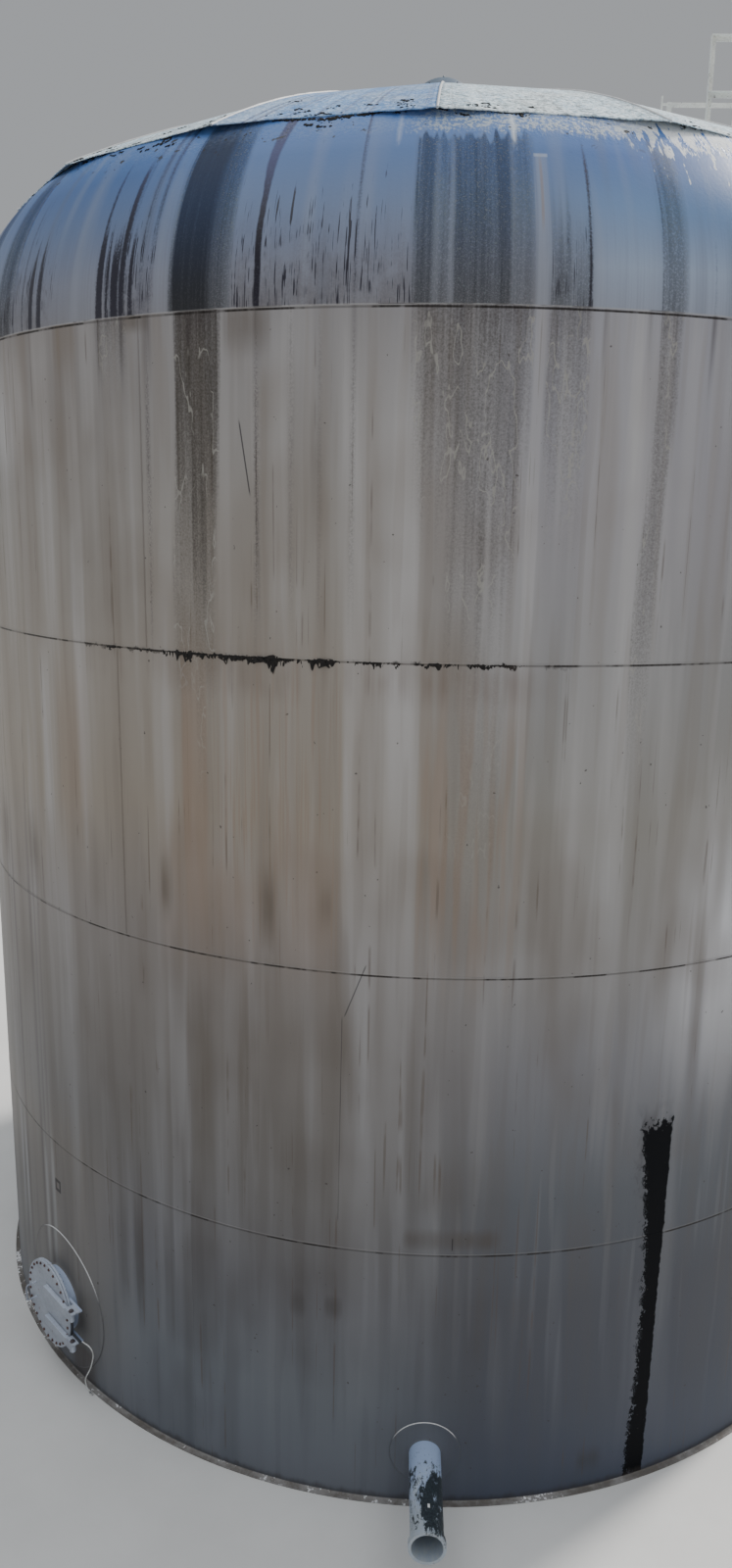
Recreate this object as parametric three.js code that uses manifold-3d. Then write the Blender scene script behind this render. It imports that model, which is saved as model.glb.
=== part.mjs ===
// Vertical storage tank of welded steel plate: a flat bottom, a shell of four courses, a round
// knuckle and a sixteen-sided crown with a vent. A hinged manway and an outlet nozzle open low on
// the shell, and a ladder climbs the side to a hatch between two guard rails on the crown.
// Millimetres, +Z up. The origin is on the tank's axis, at the underside of the bottom plate.
// The front faces -Y, and azimuths turn from there towards +X.

import * as THREE from "three";
import { mergeVertices } from "three/addons/utils/BufferGeometryUtils.js";
import Module from "manifold-3d";

const wasm = await Module();
wasm.setup();

// Fit between pieces that are welded or rest on each other
const gap = 0.3;

// Bottom and shell
const shellRadius = 4877;
const shellThickness = 8;
const courseHeight = 2438;
const bottomThickness = 8;
const bottomChime = 50;
const facets = 96;
const facetAngle = 360 / facets;
const seamAzimuth = -0.9;
const firstCourseStart = seamAzimuth - 22.5;
const upperCourseStarts = [seamAzimuth - 120, seamAzimuth - 30, seamAzimuth - 26.25];
const shellTop = bottomThickness + 4 * courseHeight;

// Knuckle: an arc that turns in from the shell's top
const knuckleRadius = 1834;
const knuckleSweep = 48.4;
const knuckleThickness = 6;
const knuckleSteps = 5;
const rimRadius = shellRadius - knuckleRadius + knuckleRadius * Math.cos(rad(knuckleSweep));
const rimHeight = shellTop + knuckleRadius * Math.sin(rad(knuckleSweep));

// Crown: sixteen plates that are flat across and curved from the eave to the middle
const gores = 16;
const goreAngle = 360 / gores;
const crownEave = 5;
const crownEdge = rimRadius + crownEave;
const crownSlope = 28.4;
const crownCurve = 10544;
const crownThickness = 6;
const crownSteps = 6;
const centreApothem = 420;
const crownFoot = rimHeight + gap - crownEave * Math.tan(rad(crownSlope));

// Vent, a little to the side of the crown's middle
const ventShift = -45;
const ventNeckRadius = 200;
const ventNeckWall = 6;
const ventSides = 24;
const ventCapRadius = 300;
const ventCapSphere = 375;
const ventCapSkin = 4;
const ventTopAboveCrown = 395;
const finialRadius = 9;
const finialHeight = 30;

// Manway, hinged on the side that faces the tank's front
const manwayAzimuth = -45.2;
const manwayHeight = 750;
const manwayBore = 305;
const manwayNeckOuter = 318;
const manwayPadRadius = 702;
const padThickness = 8;
const manwayNeckInside = -50;
const flangeRadius = 431;
const flangeBack = 125;
const flangeFace = 147;
const coverBack = 152;
const coverFace = 168;
const roundSides = 48;

// Hinge of the manway cover: on each arm's end an eye, with a lug above it and a bolt through both
const armCentre = 165;
const armHeight = 80;
const armDepth = 42;
const armInner = -15;
const pinOffset = 526;
const pinOut = coverFace + gap + armDepth / 2;
const pinRadius = 12;
const pinBore = 13;
const pinSides = 16;
const pinPlay = 1;
const eyeRadius = 30;
const eyeRise = 5;
const lugThickness = 16;
const lugOuter = pinOffset + 52;
const lugNotch = 444;
const lugBackOut = 100;
const lugFrontOut = pinOut + 32;
const boltHeadHeight = 14;
const boltHeadRadius = 21;

// Pull handle on the cover
const handleSide = -275;
const handleTop = 83;
const handleBottom = -85;
const handleOut = 100;
const handleRod = 8;
const handleBend = 25;

// Outlet nozzle at the front
const outletAzimuth = 1.7;
const outletHeight = 517;
const outletBore = 127;
const outletOuter = 136.5;
const outletPadRadius = 300;
const outletInside = -60;
const outletReach = 950;
const outletRimRadius = 152;
const outletRimLength = 60;

// Landing at the top of the ladder, square to an azimuth and a little to one side of it
const landingAzimuth = 92;
const landingShift = 100;
const railApart = 895;
const railPosts = [2480, 3220, 3960];
const railTop = 12900;
const railMiddle = 12410;
const angleSize = 50;
const angleWall = 6;
const railSetIn = 2;
const rodSize = 20;
const rodApart = 60;
const rodTop = railTop + 60;
const hatchAlong = 3400;
const hatchRadius = 305;
const hatchWall = 6;
const hatchHeight = 150;
const hatchLidRadius = 325;
const hatchLidThickness = 10;
const hatchSides = 32;

// Ladder on the shell and over the knuckle
const ladderOut = 200;
const ladderHalfWidth = 225;
const ladderBarDepth = 64;
const ladderBarWidth = 10;
const rungRadius = 10;
const rungSides = 6;
const rungSpacing = 305;
const ladderFoot = 320;
const ladderJoint = shellTop - 60;
const ladderCurveEnd = 46;
const ladderBrackets = [700, 3000, 5400, 7800, 9500];
const topBrackets = [8, 22, 36];
const bracketHeight = 50;
const bracketSunk = 40;

// White cord on the lower hinge lug, from the lug to its end fitting on the ground, at real points
const cordRadius = 6;
const cordSides = 8;
const cordSteps = 26;
const cordPoints = [
  [-3133.1, -3927.9, 639],
  [-3110, -3943.5, 636],
  [-3072, -3952, 618],
  [-3042, -3957, 584],
  [-3029, -3949, 526],
  [-3040, -3929, 450],
  [-3084, -3885, 300],
  [-3134, -3852, 190],
  [-3156, -3826, 115],
  [-3152, -3818, 60],
  [-3140, -3821, 18],
  [-3128, -3831, 9],
  [-3114, -3845, 9],
];
const fittingRadius = 9;
const fittingLength = 60;

function rad(degrees) {
  return (degrees * Math.PI) / 180;
}

// A point at an azimuth, a distance from the axis and a height
function spot(azimuth, radius, height) {
  return new THREE.Vector3(radius * Math.sin(rad(azimuth)), -radius * Math.cos(rad(azimuth)), height);
}

// Turns a geometry's faces outward if they point in
function outward(geometry) {
  const clean = new THREE.BufferGeometry();
  clean.setAttribute("position", geometry.getAttribute("position").clone());
  if (geometry.index) {
    clean.setIndex(geometry.index.clone());
  }
  const merged = mergeVertices(clean, 1e-3);
  const index = Array.from(merged.index.array);
  const kept = [];
  const corners = [new THREE.Vector3(), new THREE.Vector3(), new THREE.Vector3()];
  let volume = 0;
  for (let i = 0; i < index.length; i += 3) {
    const [a, b, c] = index.slice(i, i + 3);
    if (a === b || b === c || c === a) {
      continue;
    }
    kept.push(a, b, c);
    [a, b, c].forEach((v, n) => corners[n].fromBufferAttribute(merged.attributes.position, v));
    volume += corners[0].dot(corners[1].clone().cross(corners[2]));
  }
  if (volume < 0) {
    kept.reverse();
  }
  merged.setIndex(kept);
  return merged;
}

function solid(geometry) {
  const g = outward(geometry);
  const vertProperties = new Float32Array(g.attributes.position.array);
  const triVerts = new Uint32Array(g.index.array);
  return new wasm.Manifold(new wasm.Mesh({ numProp: 3, vertProperties, triVerts }));
}

function geometryOf(manifold) {
  const mesh = manifold.getMesh();
  const geometry = new THREE.BufferGeometry();
  geometry.setAttribute("position", new THREE.BufferAttribute(new Float32Array(mesh.vertProperties), 3));
  geometry.setIndex(new THREE.BufferAttribute(new Uint32Array(mesh.triVerts), 1));
  return geometry;
}

function joined(geometries) {
  return geometryOf(geometries.map(solid).reduce((whole, part) => whole.add(part)));
}

// A curved plate: at each station, skins(azimuth) gives its outer and inner profiles as [radius, height]
// points, and the ends are set in by half a gap so that neighbours don't touch
function curvedPlate(stations, skins, endInset = gap / 2) {
  const positions = [];
  const index = [];
  const last = stations.length - 1;
  let rows = 0;
  stations.forEach((azimuth, j) => {
    const { outer, inner } = skins(azimuth);
    rows = outer.length;
    const side = (j === 0 ? endInset : 0) - (j === last ? endInset : 0);
    const shift = new THREE.Vector3(Math.cos(rad(azimuth)), Math.sin(rad(azimuth)), 0).multiplyScalar(side);
    [...outer, ...inner].forEach(([r, z]) => positions.push(...spot(azimuth, r, z).add(shift).toArray()));
  });
  const at = (j, row, skin) => j * rows * 2 + skin * rows + row;
  const quad = (a, b, c, d) => index.push(a, b, c, a, c, d);
  for (let j = 0; j < last; j += 1) {
    for (let i = 0; i < rows - 1; i += 1) {
      quad(at(j, i, 0), at(j + 1, i, 0), at(j + 1, i + 1, 0), at(j, i + 1, 0));
      quad(at(j, i, 1), at(j, i + 1, 1), at(j + 1, i + 1, 1), at(j + 1, i, 1));
    }
    quad(at(j, 0, 1), at(j + 1, 0, 1), at(j + 1, 0, 0), at(j, 0, 0));
    quad(at(j, rows - 1, 0), at(j + 1, rows - 1, 0), at(j + 1, rows - 1, 1), at(j, rows - 1, 1));
  }
  for (let i = 0; i < rows - 1; i += 1) {
    quad(at(0, i, 1), at(0, i, 0), at(0, i + 1, 0), at(0, i + 1, 1));
    quad(at(last, i, 0), at(last, i, 1), at(last, i + 1, 1), at(last, i + 1, 0));
  }
  const geometry = new THREE.BufferGeometry();
  geometry.setAttribute("position", new THREE.Float32BufferAttribute(positions, 3));
  geometry.setIndex(index);
  return outward(geometry);
}

function stationsFrom(start, count, step = facetAngle) {
  return Array.from({ length: count + 1 }, (_, k) => start + k * step);
}

// A piece of a cylindrical wall
function wallPlate(start, count, outerRadius, thickness, bottom, top) {
  return curvedPlate(stationsFrom(start, count), () => ({
    outer: [[outerRadius, bottom], [outerRadius, top]],
    inner: [[outerRadius - thickness, bottom], [outerRadius - thickness, top]],
  }));
}

// Pieces that stand out from the shell are made at the front, x across and -Y outward, and then
// turned about the tank's axis. out() is a distance outward from the shell.
function out(distance) {
  return -(shellRadius + distance);
}

function turned(geometry, azimuth) {
  return geometry.clone().rotateZ(rad(azimuth));
}

// A ring or disc about an outward axis, from a profile of [radius, distance out] points
function radialLathe(profile, height, sides) {
  const points = profile.map(([r, o]) => new THREE.Vector2(r, out(o)));
  const geometry = new THREE.LatheGeometry(points, sides);
  geometry.translate(0, 0, height);
  return outward(geometry);
}

function radialDrill(radius, height, from, to, sides) {
  return radialLathe([[0, from], [radius, from], [radius, to], [0, to]], height, sides);
}

function box(sizeX, sizeY, sizeZ, x, y, z) {
  return new THREE.BoxGeometry(sizeX, sizeY, sizeZ).translate(x, y, z);
}

function upright(radius, sides, x, y, bottom, top) {
  const geometry = new THREE.CylinderGeometry(radius, radius, top - bottom, sides);
  return geometry.rotateX(Math.PI / 2).translate(x, y, (bottom + top) / 2);
}

const paint = {
  shell: { color: 0x9c978f, roughness: 0.75, metalness: 0.1 },
  knuckle: { color: 0x8f959c, roughness: 0.75, metalness: 0.1 },
  crown: { color: 0xb9bbb2, roughness: 0.85, metalness: 0.05 },
  bottom: { color: 0x8c8880, roughness: 0.9, metalness: 0.1 },
  fitting: { color: 0xb4bac2, roughness: 0.5, metalness: 0.15 },
  pipe: { color: 0xc9c9c4, roughness: 0.6, metalness: 0.1 },
  steel: { color: 0x9aa0a6, roughness: 0.5, metalness: 0.5 },
  cord: { color: 0xd8d8d4, roughness: 0.7, metalness: 0.0 },
};

const tank = new THREE.Group();

function add(name, geometry, finish, parent = tank) {
  const mesh = new THREE.Mesh(outward(geometry), new THREE.MeshStandardMaterial(paint[finish]));
  mesh.name = name;
  parent.add(mesh);
  return mesh;
}

// Slope of the crown's arc at a distance from the axis square to a plate's eave, in radians
function crownTurn(apothem) {
  return Math.asin(Math.sin(rad(crownSlope)) - (crownEdge - apothem) / crownCurve);
}

// Height of the crown's underside there, which runs straight between the steps of its arc
function crownUnderside(apothem) {
  const stepLength = (crownEdge - centreApothem) / crownSteps;
  const step = Math.min(Math.floor((crownEdge - apothem) / stepLength), crownSteps);
  const [start, end] = [step, step + 1].map((n) => Math.max(crownEdge - n * stepLength, 0));
  const height = (a) => crownFoot + crownCurve * (Math.cos(crownTurn(a)) - Math.cos(rad(crownSlope)));
  return height(start) + ((height(end) - height(start)) * (start - apothem)) / (start - end);
}

// The way from an azimuth to the middle of its crown plate
function goreOffset(azimuth) {
  const within = (((azimuth - seamAzimuth) % goreAngle) + goreAngle) % goreAngle;
  return within - goreAngle / 2;
}

function makeBottom() {
  const plate = upright(shellRadius + bottomChime, facets, 0, 0, 0, bottomThickness);
  add("bottom_plate", plate, "bottom");
}

function makeShell() {
  const bottom = bottomThickness + gap;
  const quarter = facets / 4;
  const half = facets / 2;
  const names = ["manway_side", "front", "ladder_side", "back"];
  names.forEach((name, k) => {
    const start = firstCourseStart - 90 + 90 * k;
    const top = bottomThickness + courseHeight;
    let plate = wallPlate(start, quarter, shellRadius, shellThickness, bottom, top);
    if (name === "manway_side") {
      plate = drilled(plate, manwayNeckOuter, manwayAzimuth, manwayHeight);
    }
    if (name === "front") {
      plate = drilled(plate, outletOuter, outletAzimuth, outletHeight);
    }
    add(`shell_course_1_${name}`, plate, "shell");
  });
  upperCourseStarts.forEach((start, k) => {
    const low = bottomThickness + (k + 1) * courseHeight + gap;
    const high = bottomThickness + (k + 2) * courseHeight;
    ["right", "left"].forEach((side, n) => {
      const plate = wallPlate(start + 180 * n, half, shellRadius, shellThickness, low, high);
      add(`shell_course_${k + 2}_${side}`, plate, "shell");
    });
  });
}

function drilled(plate, radius, azimuth, height) {
  const reach = 120;
  const drill = turned(radialDrill(radius + gap, height, -reach, reach, roundSides), azimuth);
  return geometryOf(solid(plate).subtract(solid(drill)));
}

// Angle of the knuckle's upper edge, where its arc meets the underside of the crown
function rimAngle(azimuth) {
  const across = Math.cos(rad(goreOffset(azimuth)));
  let low = 0;
  let high = 80;
  for (let i = 0; i < 40; i += 1) {
    const middle = (low + high) / 2;
    const r = shellRadius - knuckleRadius + knuckleRadius * Math.cos(rad(middle));
    const z = shellTop + knuckleRadius * Math.sin(rad(middle));
    const isUnder = r * across > crownEdge || z < crownUnderside(r * across) - gap;
    [low, high] = isUnder ? [middle, high] : [low, middle];
  }
  return low;
}

function makeKnuckle() {
  const skins = (azimuth) => {
    const top = rimAngle(azimuth);
    const profile = (radius) => Array.from({ length: knuckleSteps + 1 }, (_, i) => {
      const angle = rad(i === knuckleSteps ? top : (knuckleSweep * i) / knuckleSteps);
      const lift = i === 0 ? gap : 0;
      return [
        shellRadius - knuckleRadius + radius * Math.cos(angle),
        shellTop + lift + radius * Math.sin(angle),
      ];
    });
    return { outer: profile(knuckleRadius), inner: profile(knuckleRadius - knuckleThickness) };
  };
  for (let k = 0; k < 4; k += 1) {
    const stations = stationsFrom(seamAzimuth - 45 + 90 * k, facets / 4);
    add(`knuckle_plate_${k + 1}`, curvedPlate(stations, skins), "knuckle");
  }
}

// Crown profile from the eave inward, lifted off its underside, at the plates' corners
function crownProfile(lift) {
  return Array.from({ length: crownSteps + 1 }, (_, i) => {
    const apothem = crownEdge + ((centreApothem - crownEdge) * i) / crownSteps;
    return [apothem / Math.cos(rad(goreAngle / 2)), crownUnderside(apothem) + lift];
  });
}

function makeCrown() {
  const skins = () => ({ outer: crownProfile(crownThickness), inner: crownProfile(0) });
  for (let k = 0; k < gores / 2; k += 1) {
    const stations = stationsFrom(seamAzimuth - 45 + 45 * k, 2, goreAngle);
    add(`crown_plates_${k + 1}`, curvedPlate(stations, skins), "crown");
  }
  const corner = (centreApothem - gap) / Math.cos(rad(goreAngle / 2));
  const edge = crownUnderside(centreApothem);
  const middle = crownUnderside(0);
  const points = [
    [0, middle],
    [corner, edge],
    [corner, edge + crownThickness],
    [0, middle + crownThickness],
  ].map(([r, z]) => new THREE.Vector2(r, z));
  const centre = new THREE.LatheGeometry(points, gores).rotateX(Math.PI / 2).rotateZ(rad(seamAzimuth));
  add("crown_centre_plate", centre, "crown");
}

// Everything under the crown's upper side, for trimming what stands on it
function underCrown() {
  const skirt = 2000;
  const profile = crownProfile(crownThickness + gap).concat([[0, crownUnderside(0) + crownThickness + gap]]);
  const points = [[0, crownFoot - skirt], [profile[0][0], crownFoot - skirt], ...profile];
  const lathe = new THREE.LatheGeometry(points.map(([r, z]) => new THREE.Vector2(r, z)), gores);
  return solid(lathe.rotateX(Math.PI / 2).rotateZ(rad(seamAzimuth)));
}

function onCrown(geometry) {
  return geometryOf(solid(geometry).subtract(underCrown()));
}

// Everything within the shell and the knuckle, for trimming what is welded to them
function insideWall() {
  const centre = shellRadius - knuckleRadius;
  const arc = Array.from({ length: knuckleSteps + 1 }, (_, i) => {
    const angle = rad((knuckleSweep * i) / knuckleSteps);
    const radius = knuckleRadius + gap;
    return [centre + radius * Math.cos(angle), shellTop + radius * Math.sin(angle)];
  });
  const points = [[0, 0], [shellRadius + gap, 0], ...arc, [0, arc[knuckleSteps][1]]];
  const lathe = new THREE.LatheGeometry(points.map(([r, z]) => new THREE.Vector2(r, z)), facets);
  return solid(lathe.rotateX(Math.PI / 2).rotateZ(rad(seamAzimuth)));
}

function onWall(geometry) {
  return geometryOf(solid(geometry).subtract(insideWall()));
}

function makeVent() {
  const apex = crownUnderside(0) + crownThickness;
  const capTop = apex + ventTopAboveCrown;
  const centre = capTop - ventCapSphere;
  const domePoint = (sphere, r) => [r, centre + Math.sqrt(sphere * sphere - r * r)];
  const inner = ventCapSphere - ventCapSkin;
  const rings = [0, 100, ventNeckRadius, ventCapRadius];
  const outerSkin = rings.map((r) => domePoint(ventCapSphere, r));
  const innerSkin = rings.map((r) => domePoint(inner, Math.min(r, ventCapRadius - ventCapSkin))).reverse();
  const rimDrop = 20;
  const lowRim = outerSkin[rings.length - 1][1] - rimDrop;
  const profile = [...outerSkin, [ventCapRadius, lowRim], [ventCapRadius - ventCapSkin, lowRim], ...innerSkin];
  const cap = new THREE.LatheGeometry(profile.map(([r, z]) => new THREE.Vector2(r, z)), ventSides);
  const finial = upright(finialRadius, 8, 0, 0, capTop - 3, capTop + finialHeight);
  add("vent_cap", joined([cap.rotateX(Math.PI / 2), finial]).translate(ventShift, 0, 0), "fitting");
  const neckTop = domePoint(inner, ventNeckRadius)[1] - gap;
  const low = crownUnderside(ventNeckRadius) + crownThickness + gap;
  const wall = [
    [ventNeckRadius - ventNeckWall, low],
    [ventNeckRadius, low],
    [ventNeckRadius, neckTop],
    [ventNeckRadius - ventNeckWall, neckTop],
    [ventNeckRadius - ventNeckWall, low],
  ];
  const neck = new THREE.LatheGeometry(wall.map(([r, z]) => new THREE.Vector2(r, z)), ventSides);
  add("vent_neck", onCrown(neck.rotateX(Math.PI / 2).translate(ventShift, 0, 0)), "fitting");
}

// A reinforcing pad: a round plate bent to the shell, with a hole for its neck
function pad(radius, holeRadius, azimuth, height) {
  const first = Math.floor((azimuth - 15 - seamAzimuth) / facetAngle) * facetAngle + seamAzimuth;
  const bent = wallPlate(first, 9, shellRadius + gap + padThickness, padThickness,
    height - 2 * radius, height + 2 * radius);
  const reach = 200;
  const round = turned(radialDrill(radius, height, -reach, reach, roundSides), azimuth);
  const hole = turned(radialDrill(holeRadius + gap, height, -reach, reach, roundSides), azimuth);
  return geometryOf(solid(bent).intersect(solid(round)).subtract(solid(hole)));
}

function makeManway() {
  add("manway_pad", pad(manwayPadRadius, manwayNeckOuter, manwayAzimuth, manwayHeight), "shell");
  const manway = new THREE.Group();
  manway.rotation.z = rad(manwayAzimuth);
  tank.add(manway);
  const neck = radialLathe([
    [manwayBore, manwayNeckInside],
    [manwayNeckOuter, manwayNeckInside],
    [manwayNeckOuter, flangeBack],
    [flangeRadius, flangeBack],
    [flangeRadius, flangeFace],
    [manwayBore, flangeFace],
    [manwayBore, manwayNeckInside],
  ], manwayHeight, roundSides);
  add("manway_neck", neck, "fitting", manway);
  add("manway_cover", radialDrill(flangeRadius, manwayHeight, coverBack, coverFace, roundSides), "fitting",
    manway);
  makeHinge(manway);
  makeHandle(manway);
}

function makeHinge(manway) {
  const y = out(pinOut);
  const armLength = pinOffset - armInner;
  const tall = 2 * manwayHeight;
  const bore = upright(pinBore, pinSides, pinOffset, y, 0, tall);
  [["upper", armCentre], ["lower", -armCentre]].forEach(([name, centre]) => {
    const middle = manwayHeight + centre;
    const eyeLow = middle - armHeight / 2;
    const eyeHigh = middle + armHeight / 2 + eyeRise;
    const lugLow = eyeHigh + pinPlay;
    const lugHigh = lugLow + lugThickness;
    const bar = box(armLength, armDepth, armHeight, armInner + armLength / 2, y, middle);
    const eye = upright(eyeRadius, pinSides, pinOffset, y, eyeLow, eyeHigh);
    const arm = solid(bar).add(solid(eye)).subtract(solid(bore));
    add(`cover_arm_${name}`, geometryOf(arm), "fitting", manway);
    const plate = lugPlate(lugLow, lugHigh);
    add(`hinge_lug_${name}`, geometryOf(solid(plate).subtract(solid(bore))), "fitting", manway);
    const top = lugHigh + gap + boltHeadHeight;
    const foot = eyeLow - pinPlay - boltHeadHeight;
    const shank = upright(pinRadius, pinSides, pinOffset, y, foot, top);
    const head = upright(boltHeadRadius, 6, pinOffset, y, lugHigh + gap, top);
    const nut = upright(boltHeadRadius, 6, pinOffset, y, foot, foot + boltHeadHeight);
    add(`hinge_bolt_${name}`, joined([shank, head, nut]), "steel", manway);
  });
}

// A lug lies level between two heights: welded to the neck and the flange's back, out to the bolt
function lugPlate(low, high) {
  const nearest = Math.min(Math.abs(low - manwayHeight), Math.abs(high - manwayHeight));
  const inner = Math.sqrt(manwayNeckOuter ** 2 - nearest ** 2) + 2 * gap;
  const outline = new THREE.Shape();
  outline.moveTo(inner, lugBackOut);
  outline.lineTo(lugOuter, lugBackOut);
  outline.lineTo(lugOuter, lugFrontOut);
  outline.lineTo(lugNotch, lugFrontOut);
  outline.lineTo(lugNotch, flangeBack - gap);
  outline.lineTo(inner, flangeBack - gap);
  outline.closePath();
  const plate = new THREE.ExtrudeGeometry(outline, { depth: high - low, bevelEnabled: false });
  return plate.scale(1, -1, 1).translate(0, out(0), low);
}

function makeHandle(manway) {
  const near = coverFace + gap;
  const far = coverFace + handleOut;
  const point = (o, z) => new THREE.Vector3(handleSide, out(o), manwayHeight + z);
  const path = new THREE.CurvePath();
  path.add(new THREE.LineCurve3(point(near, handleTop), point(far - handleBend, handleTop)));
  path.add(new THREE.QuadraticBezierCurve3(
    point(far - handleBend, handleTop), point(far, handleTop), point(far, handleTop - handleBend)));
  path.add(new THREE.LineCurve3(point(far, handleTop - handleBend), point(far, handleBottom + handleBend)));
  path.add(new THREE.QuadraticBezierCurve3(
    point(far, handleBottom + handleBend), point(far, handleBottom), point(far - handleBend, handleBottom)));
  path.add(new THREE.LineCurve3(point(far - handleBend, handleBottom), point(near, handleBottom)));
  const section = new THREE.Shape().absarc(0, 0, handleRod, 0, 2 * Math.PI);
  const handle = new THREE.ExtrudeGeometry(section, { steps: 24, extrudePath: path, curveSegments: 3 });
  add("cover_handle", handle, "fitting", manway);
}

function makeOutlet() {
  add("outlet_pad", pad(outletPadRadius, outletOuter, outletAzimuth, outletHeight), "shell");
  const pipe = radialLathe([
    [outletBore, outletInside],
    [outletOuter, outletInside],
    [outletOuter, outletReach - outletRimLength],
    [outletRimRadius, outletReach - outletRimLength],
    [outletRimRadius, outletReach],
    [outletBore, outletReach],
    [outletBore, outletInside],
  ], outletHeight, 32);
  add("outlet_pipe", turned(pipe, outletAzimuth), "pipe");
}

// A length of angle iron: its section in the plane of the two vectors, from start to end
function angleIron(start, end, across, up) {
  const corners = [
    [0, 0], [angleSize, 0], [angleSize, angleWall], [angleWall, angleWall], [angleWall, angleSize],
    [0, angleSize],
  ];
  const shape = new THREE.Shape(corners.map(([x, y]) => new THREE.Vector2(x, y)));
  const along = new THREE.Vector3().subVectors(end, start);
  const bar = new THREE.ExtrudeGeometry(shape, { depth: along.length(), bevelEnabled: false });
  const place = new THREE.Matrix4().makeBasis(across, up, along.clone().normalize()).setPosition(start);
  return bar.applyMatrix4(place);
}

function makeRails() {
  const outwardAxis = new THREE.Vector3(0, -1, 0);
  const down = new THREE.Vector3(0, 0, -1);
  const first = railPosts[0];
  const last = railPosts[railPosts.length - 1];
  [["near", -1], ["far", 1]].forEach(([name, side]) => {
    const x = landingShift + side * railApart;
    const across = new THREE.Vector3(side, 0, 0);
    const posts = railPosts.map((along) => {
      const foot = new THREE.Vector3(x, -along, rimHeight - 500);
      const head = new THREE.Vector3(x, -along, railTop);
      return angleIron(foot, head, across, outwardAxis);
    });
    const railX = x + side * railSetIn;
    const rails = [railTop - railSetIn, railMiddle].map((height) => angleIron(
      new THREE.Vector3(railX, -(first + railSetIn), height),
      new THREE.Vector3(railX, -(last + angleSize - railSetIn), height),
      across, down));
    const pieces = [...posts, ...rails];
    if (name === "far") {
      const rodX = x + rodSize / 2;
      const rodY = rodApart - first;
      pieces.push(box(rodSize, rodSize, rodTop - rimHeight, rodX, rodY, (rodTop + rimHeight) / 2));
      pieces.push(box(rodSize, rodApart, rodSize, rodX, rodY - rodApart / 2, railTop - rodSize));
    }
    const frame = turned(joined(pieces), landingAzimuth);
    add(`guard_rail_${name}`, onCrown(frame), "fitting");
  });
}

function makeHatch() {
  const surface = crownUnderside(hatchAlong) + crownThickness;
  const place = (geometry) => {
    geometry.rotateX(crownTurn(hatchAlong)).translate(landingShift, -hatchAlong, surface);
    return turned(geometry, landingAzimuth);
  };
  const sunk = -200;
  const wall = [
    [hatchRadius - hatchWall, sunk],
    [hatchRadius, sunk],
    [hatchRadius, hatchHeight],
    [hatchRadius - hatchWall, hatchHeight],
    [hatchRadius - hatchWall, sunk],
  ];
  const neck = new THREE.LatheGeometry(wall.map(([r, z]) => new THREE.Vector2(r, z)), hatchSides);
  add("hatch_neck", onCrown(place(neck.rotateX(Math.PI / 2))), "fitting");
  const lidLow = hatchHeight + gap;
  const lid = upright(hatchLidRadius, hatchSides, 0, 0, lidLow, lidLow + hatchLidThickness);
  add("hatch_lid", place(lid), "fitting");
}

// The ladder's side bars, rungs and brackets, made at the front and turned to its azimuth
function makeLadder() {
  const middleOut = ladderOut + ladderBarDepth / 2;
  const straight = [];
  [-1, 1].forEach((side) => {
    const x = landingShift + side * ladderHalfWidth;
    const length = ladderJoint - gap - ladderFoot;
    straight.push(box(ladderBarWidth, ladderBarDepth, length, x, out(middleOut), ladderFoot + length / 2));
    ladderBrackets.forEach((height) => {
      const reach = middleOut + bracketSunk;
      straight.push(box(ladderBarWidth, reach, bracketHeight, x, out(reach / 2 - bracketSunk), height));
    });
  });
  for (let z = ladderFoot + 150; z < ladderJoint - 40; z += rungSpacing) {
    straight.push(rung(out(middleOut), z));
  }
  add("ladder", onWall(turned(joined(straight), landingAzimuth)), "fitting");
  add("ladder_top", onWall(turned(ladderTop(middleOut), landingAzimuth)), "fitting");
}

function rung(y, z) {
  const bar = new THREE.CylinderGeometry(rungRadius, rungRadius, 2 * ladderHalfWidth, rungSides);
  return bar.rotateZ(Math.PI / 2).translate(landingShift, y, z);
}

function ladderTop(middleOut) {
  const centreOut = -knuckleRadius;
  const radius = knuckleRadius + middleOut;
  const around = (angle, r) => [out(centreOut + r * Math.cos(rad(angle))), shellTop + r * Math.sin(rad(angle))];
  const inner = radius - ladderBarDepth / 2;
  const outer = radius + ladderBarDepth / 2;
  const steps = 8;
  const arc = (r) => Array.from({ length: steps + 1 }, (_, i) => around((ladderCurveEnd * i) / steps, r));
  const outline = [
    [out(centreOut + outer), ladderJoint], ...arc(outer), ...arc(inner).reverse(), [out(centreOut + inner), ladderJoint],
  ];
  const pieces = [];
  const shape = new THREE.Shape(outline.map(([y, z]) => new THREE.Vector2(y, z)));
  const standing = new THREE.Matrix4().makeBasis(
    new THREE.Vector3(0, 1, 0), new THREE.Vector3(0, 0, 1), new THREE.Vector3(1, 0, 0));
  [-1, 1].forEach((side) => {
    const x = landingShift + side * ladderHalfWidth;
    const bar = new THREE.ExtrudeGeometry(shape, { depth: ladderBarWidth, bevelEnabled: false });
    pieces.push(bar.applyMatrix4(standing).translate(x - ladderBarWidth / 2, 0, 0));
    topBrackets.forEach((angle) => {
      const near = knuckleRadius - bracketSunk;
      const reach = radius - near;
      const stay = box(ladderBarWidth, reach, bracketHeight, 0, -reach / 2, 0);
      stay.translate(0, -near, 0).rotateX(-rad(angle));
      pieces.push(stay.translate(x, out(centreOut), shellTop));
    });
  });
  const rungAngle = (rungSpacing / radius) * (180 / Math.PI);
  for (let angle = 3; angle < ladderCurveEnd - 2; angle += rungAngle) {
    pieces.push(rung(...around(angle, radius)));
  }
  return joined(pieces);
}

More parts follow.
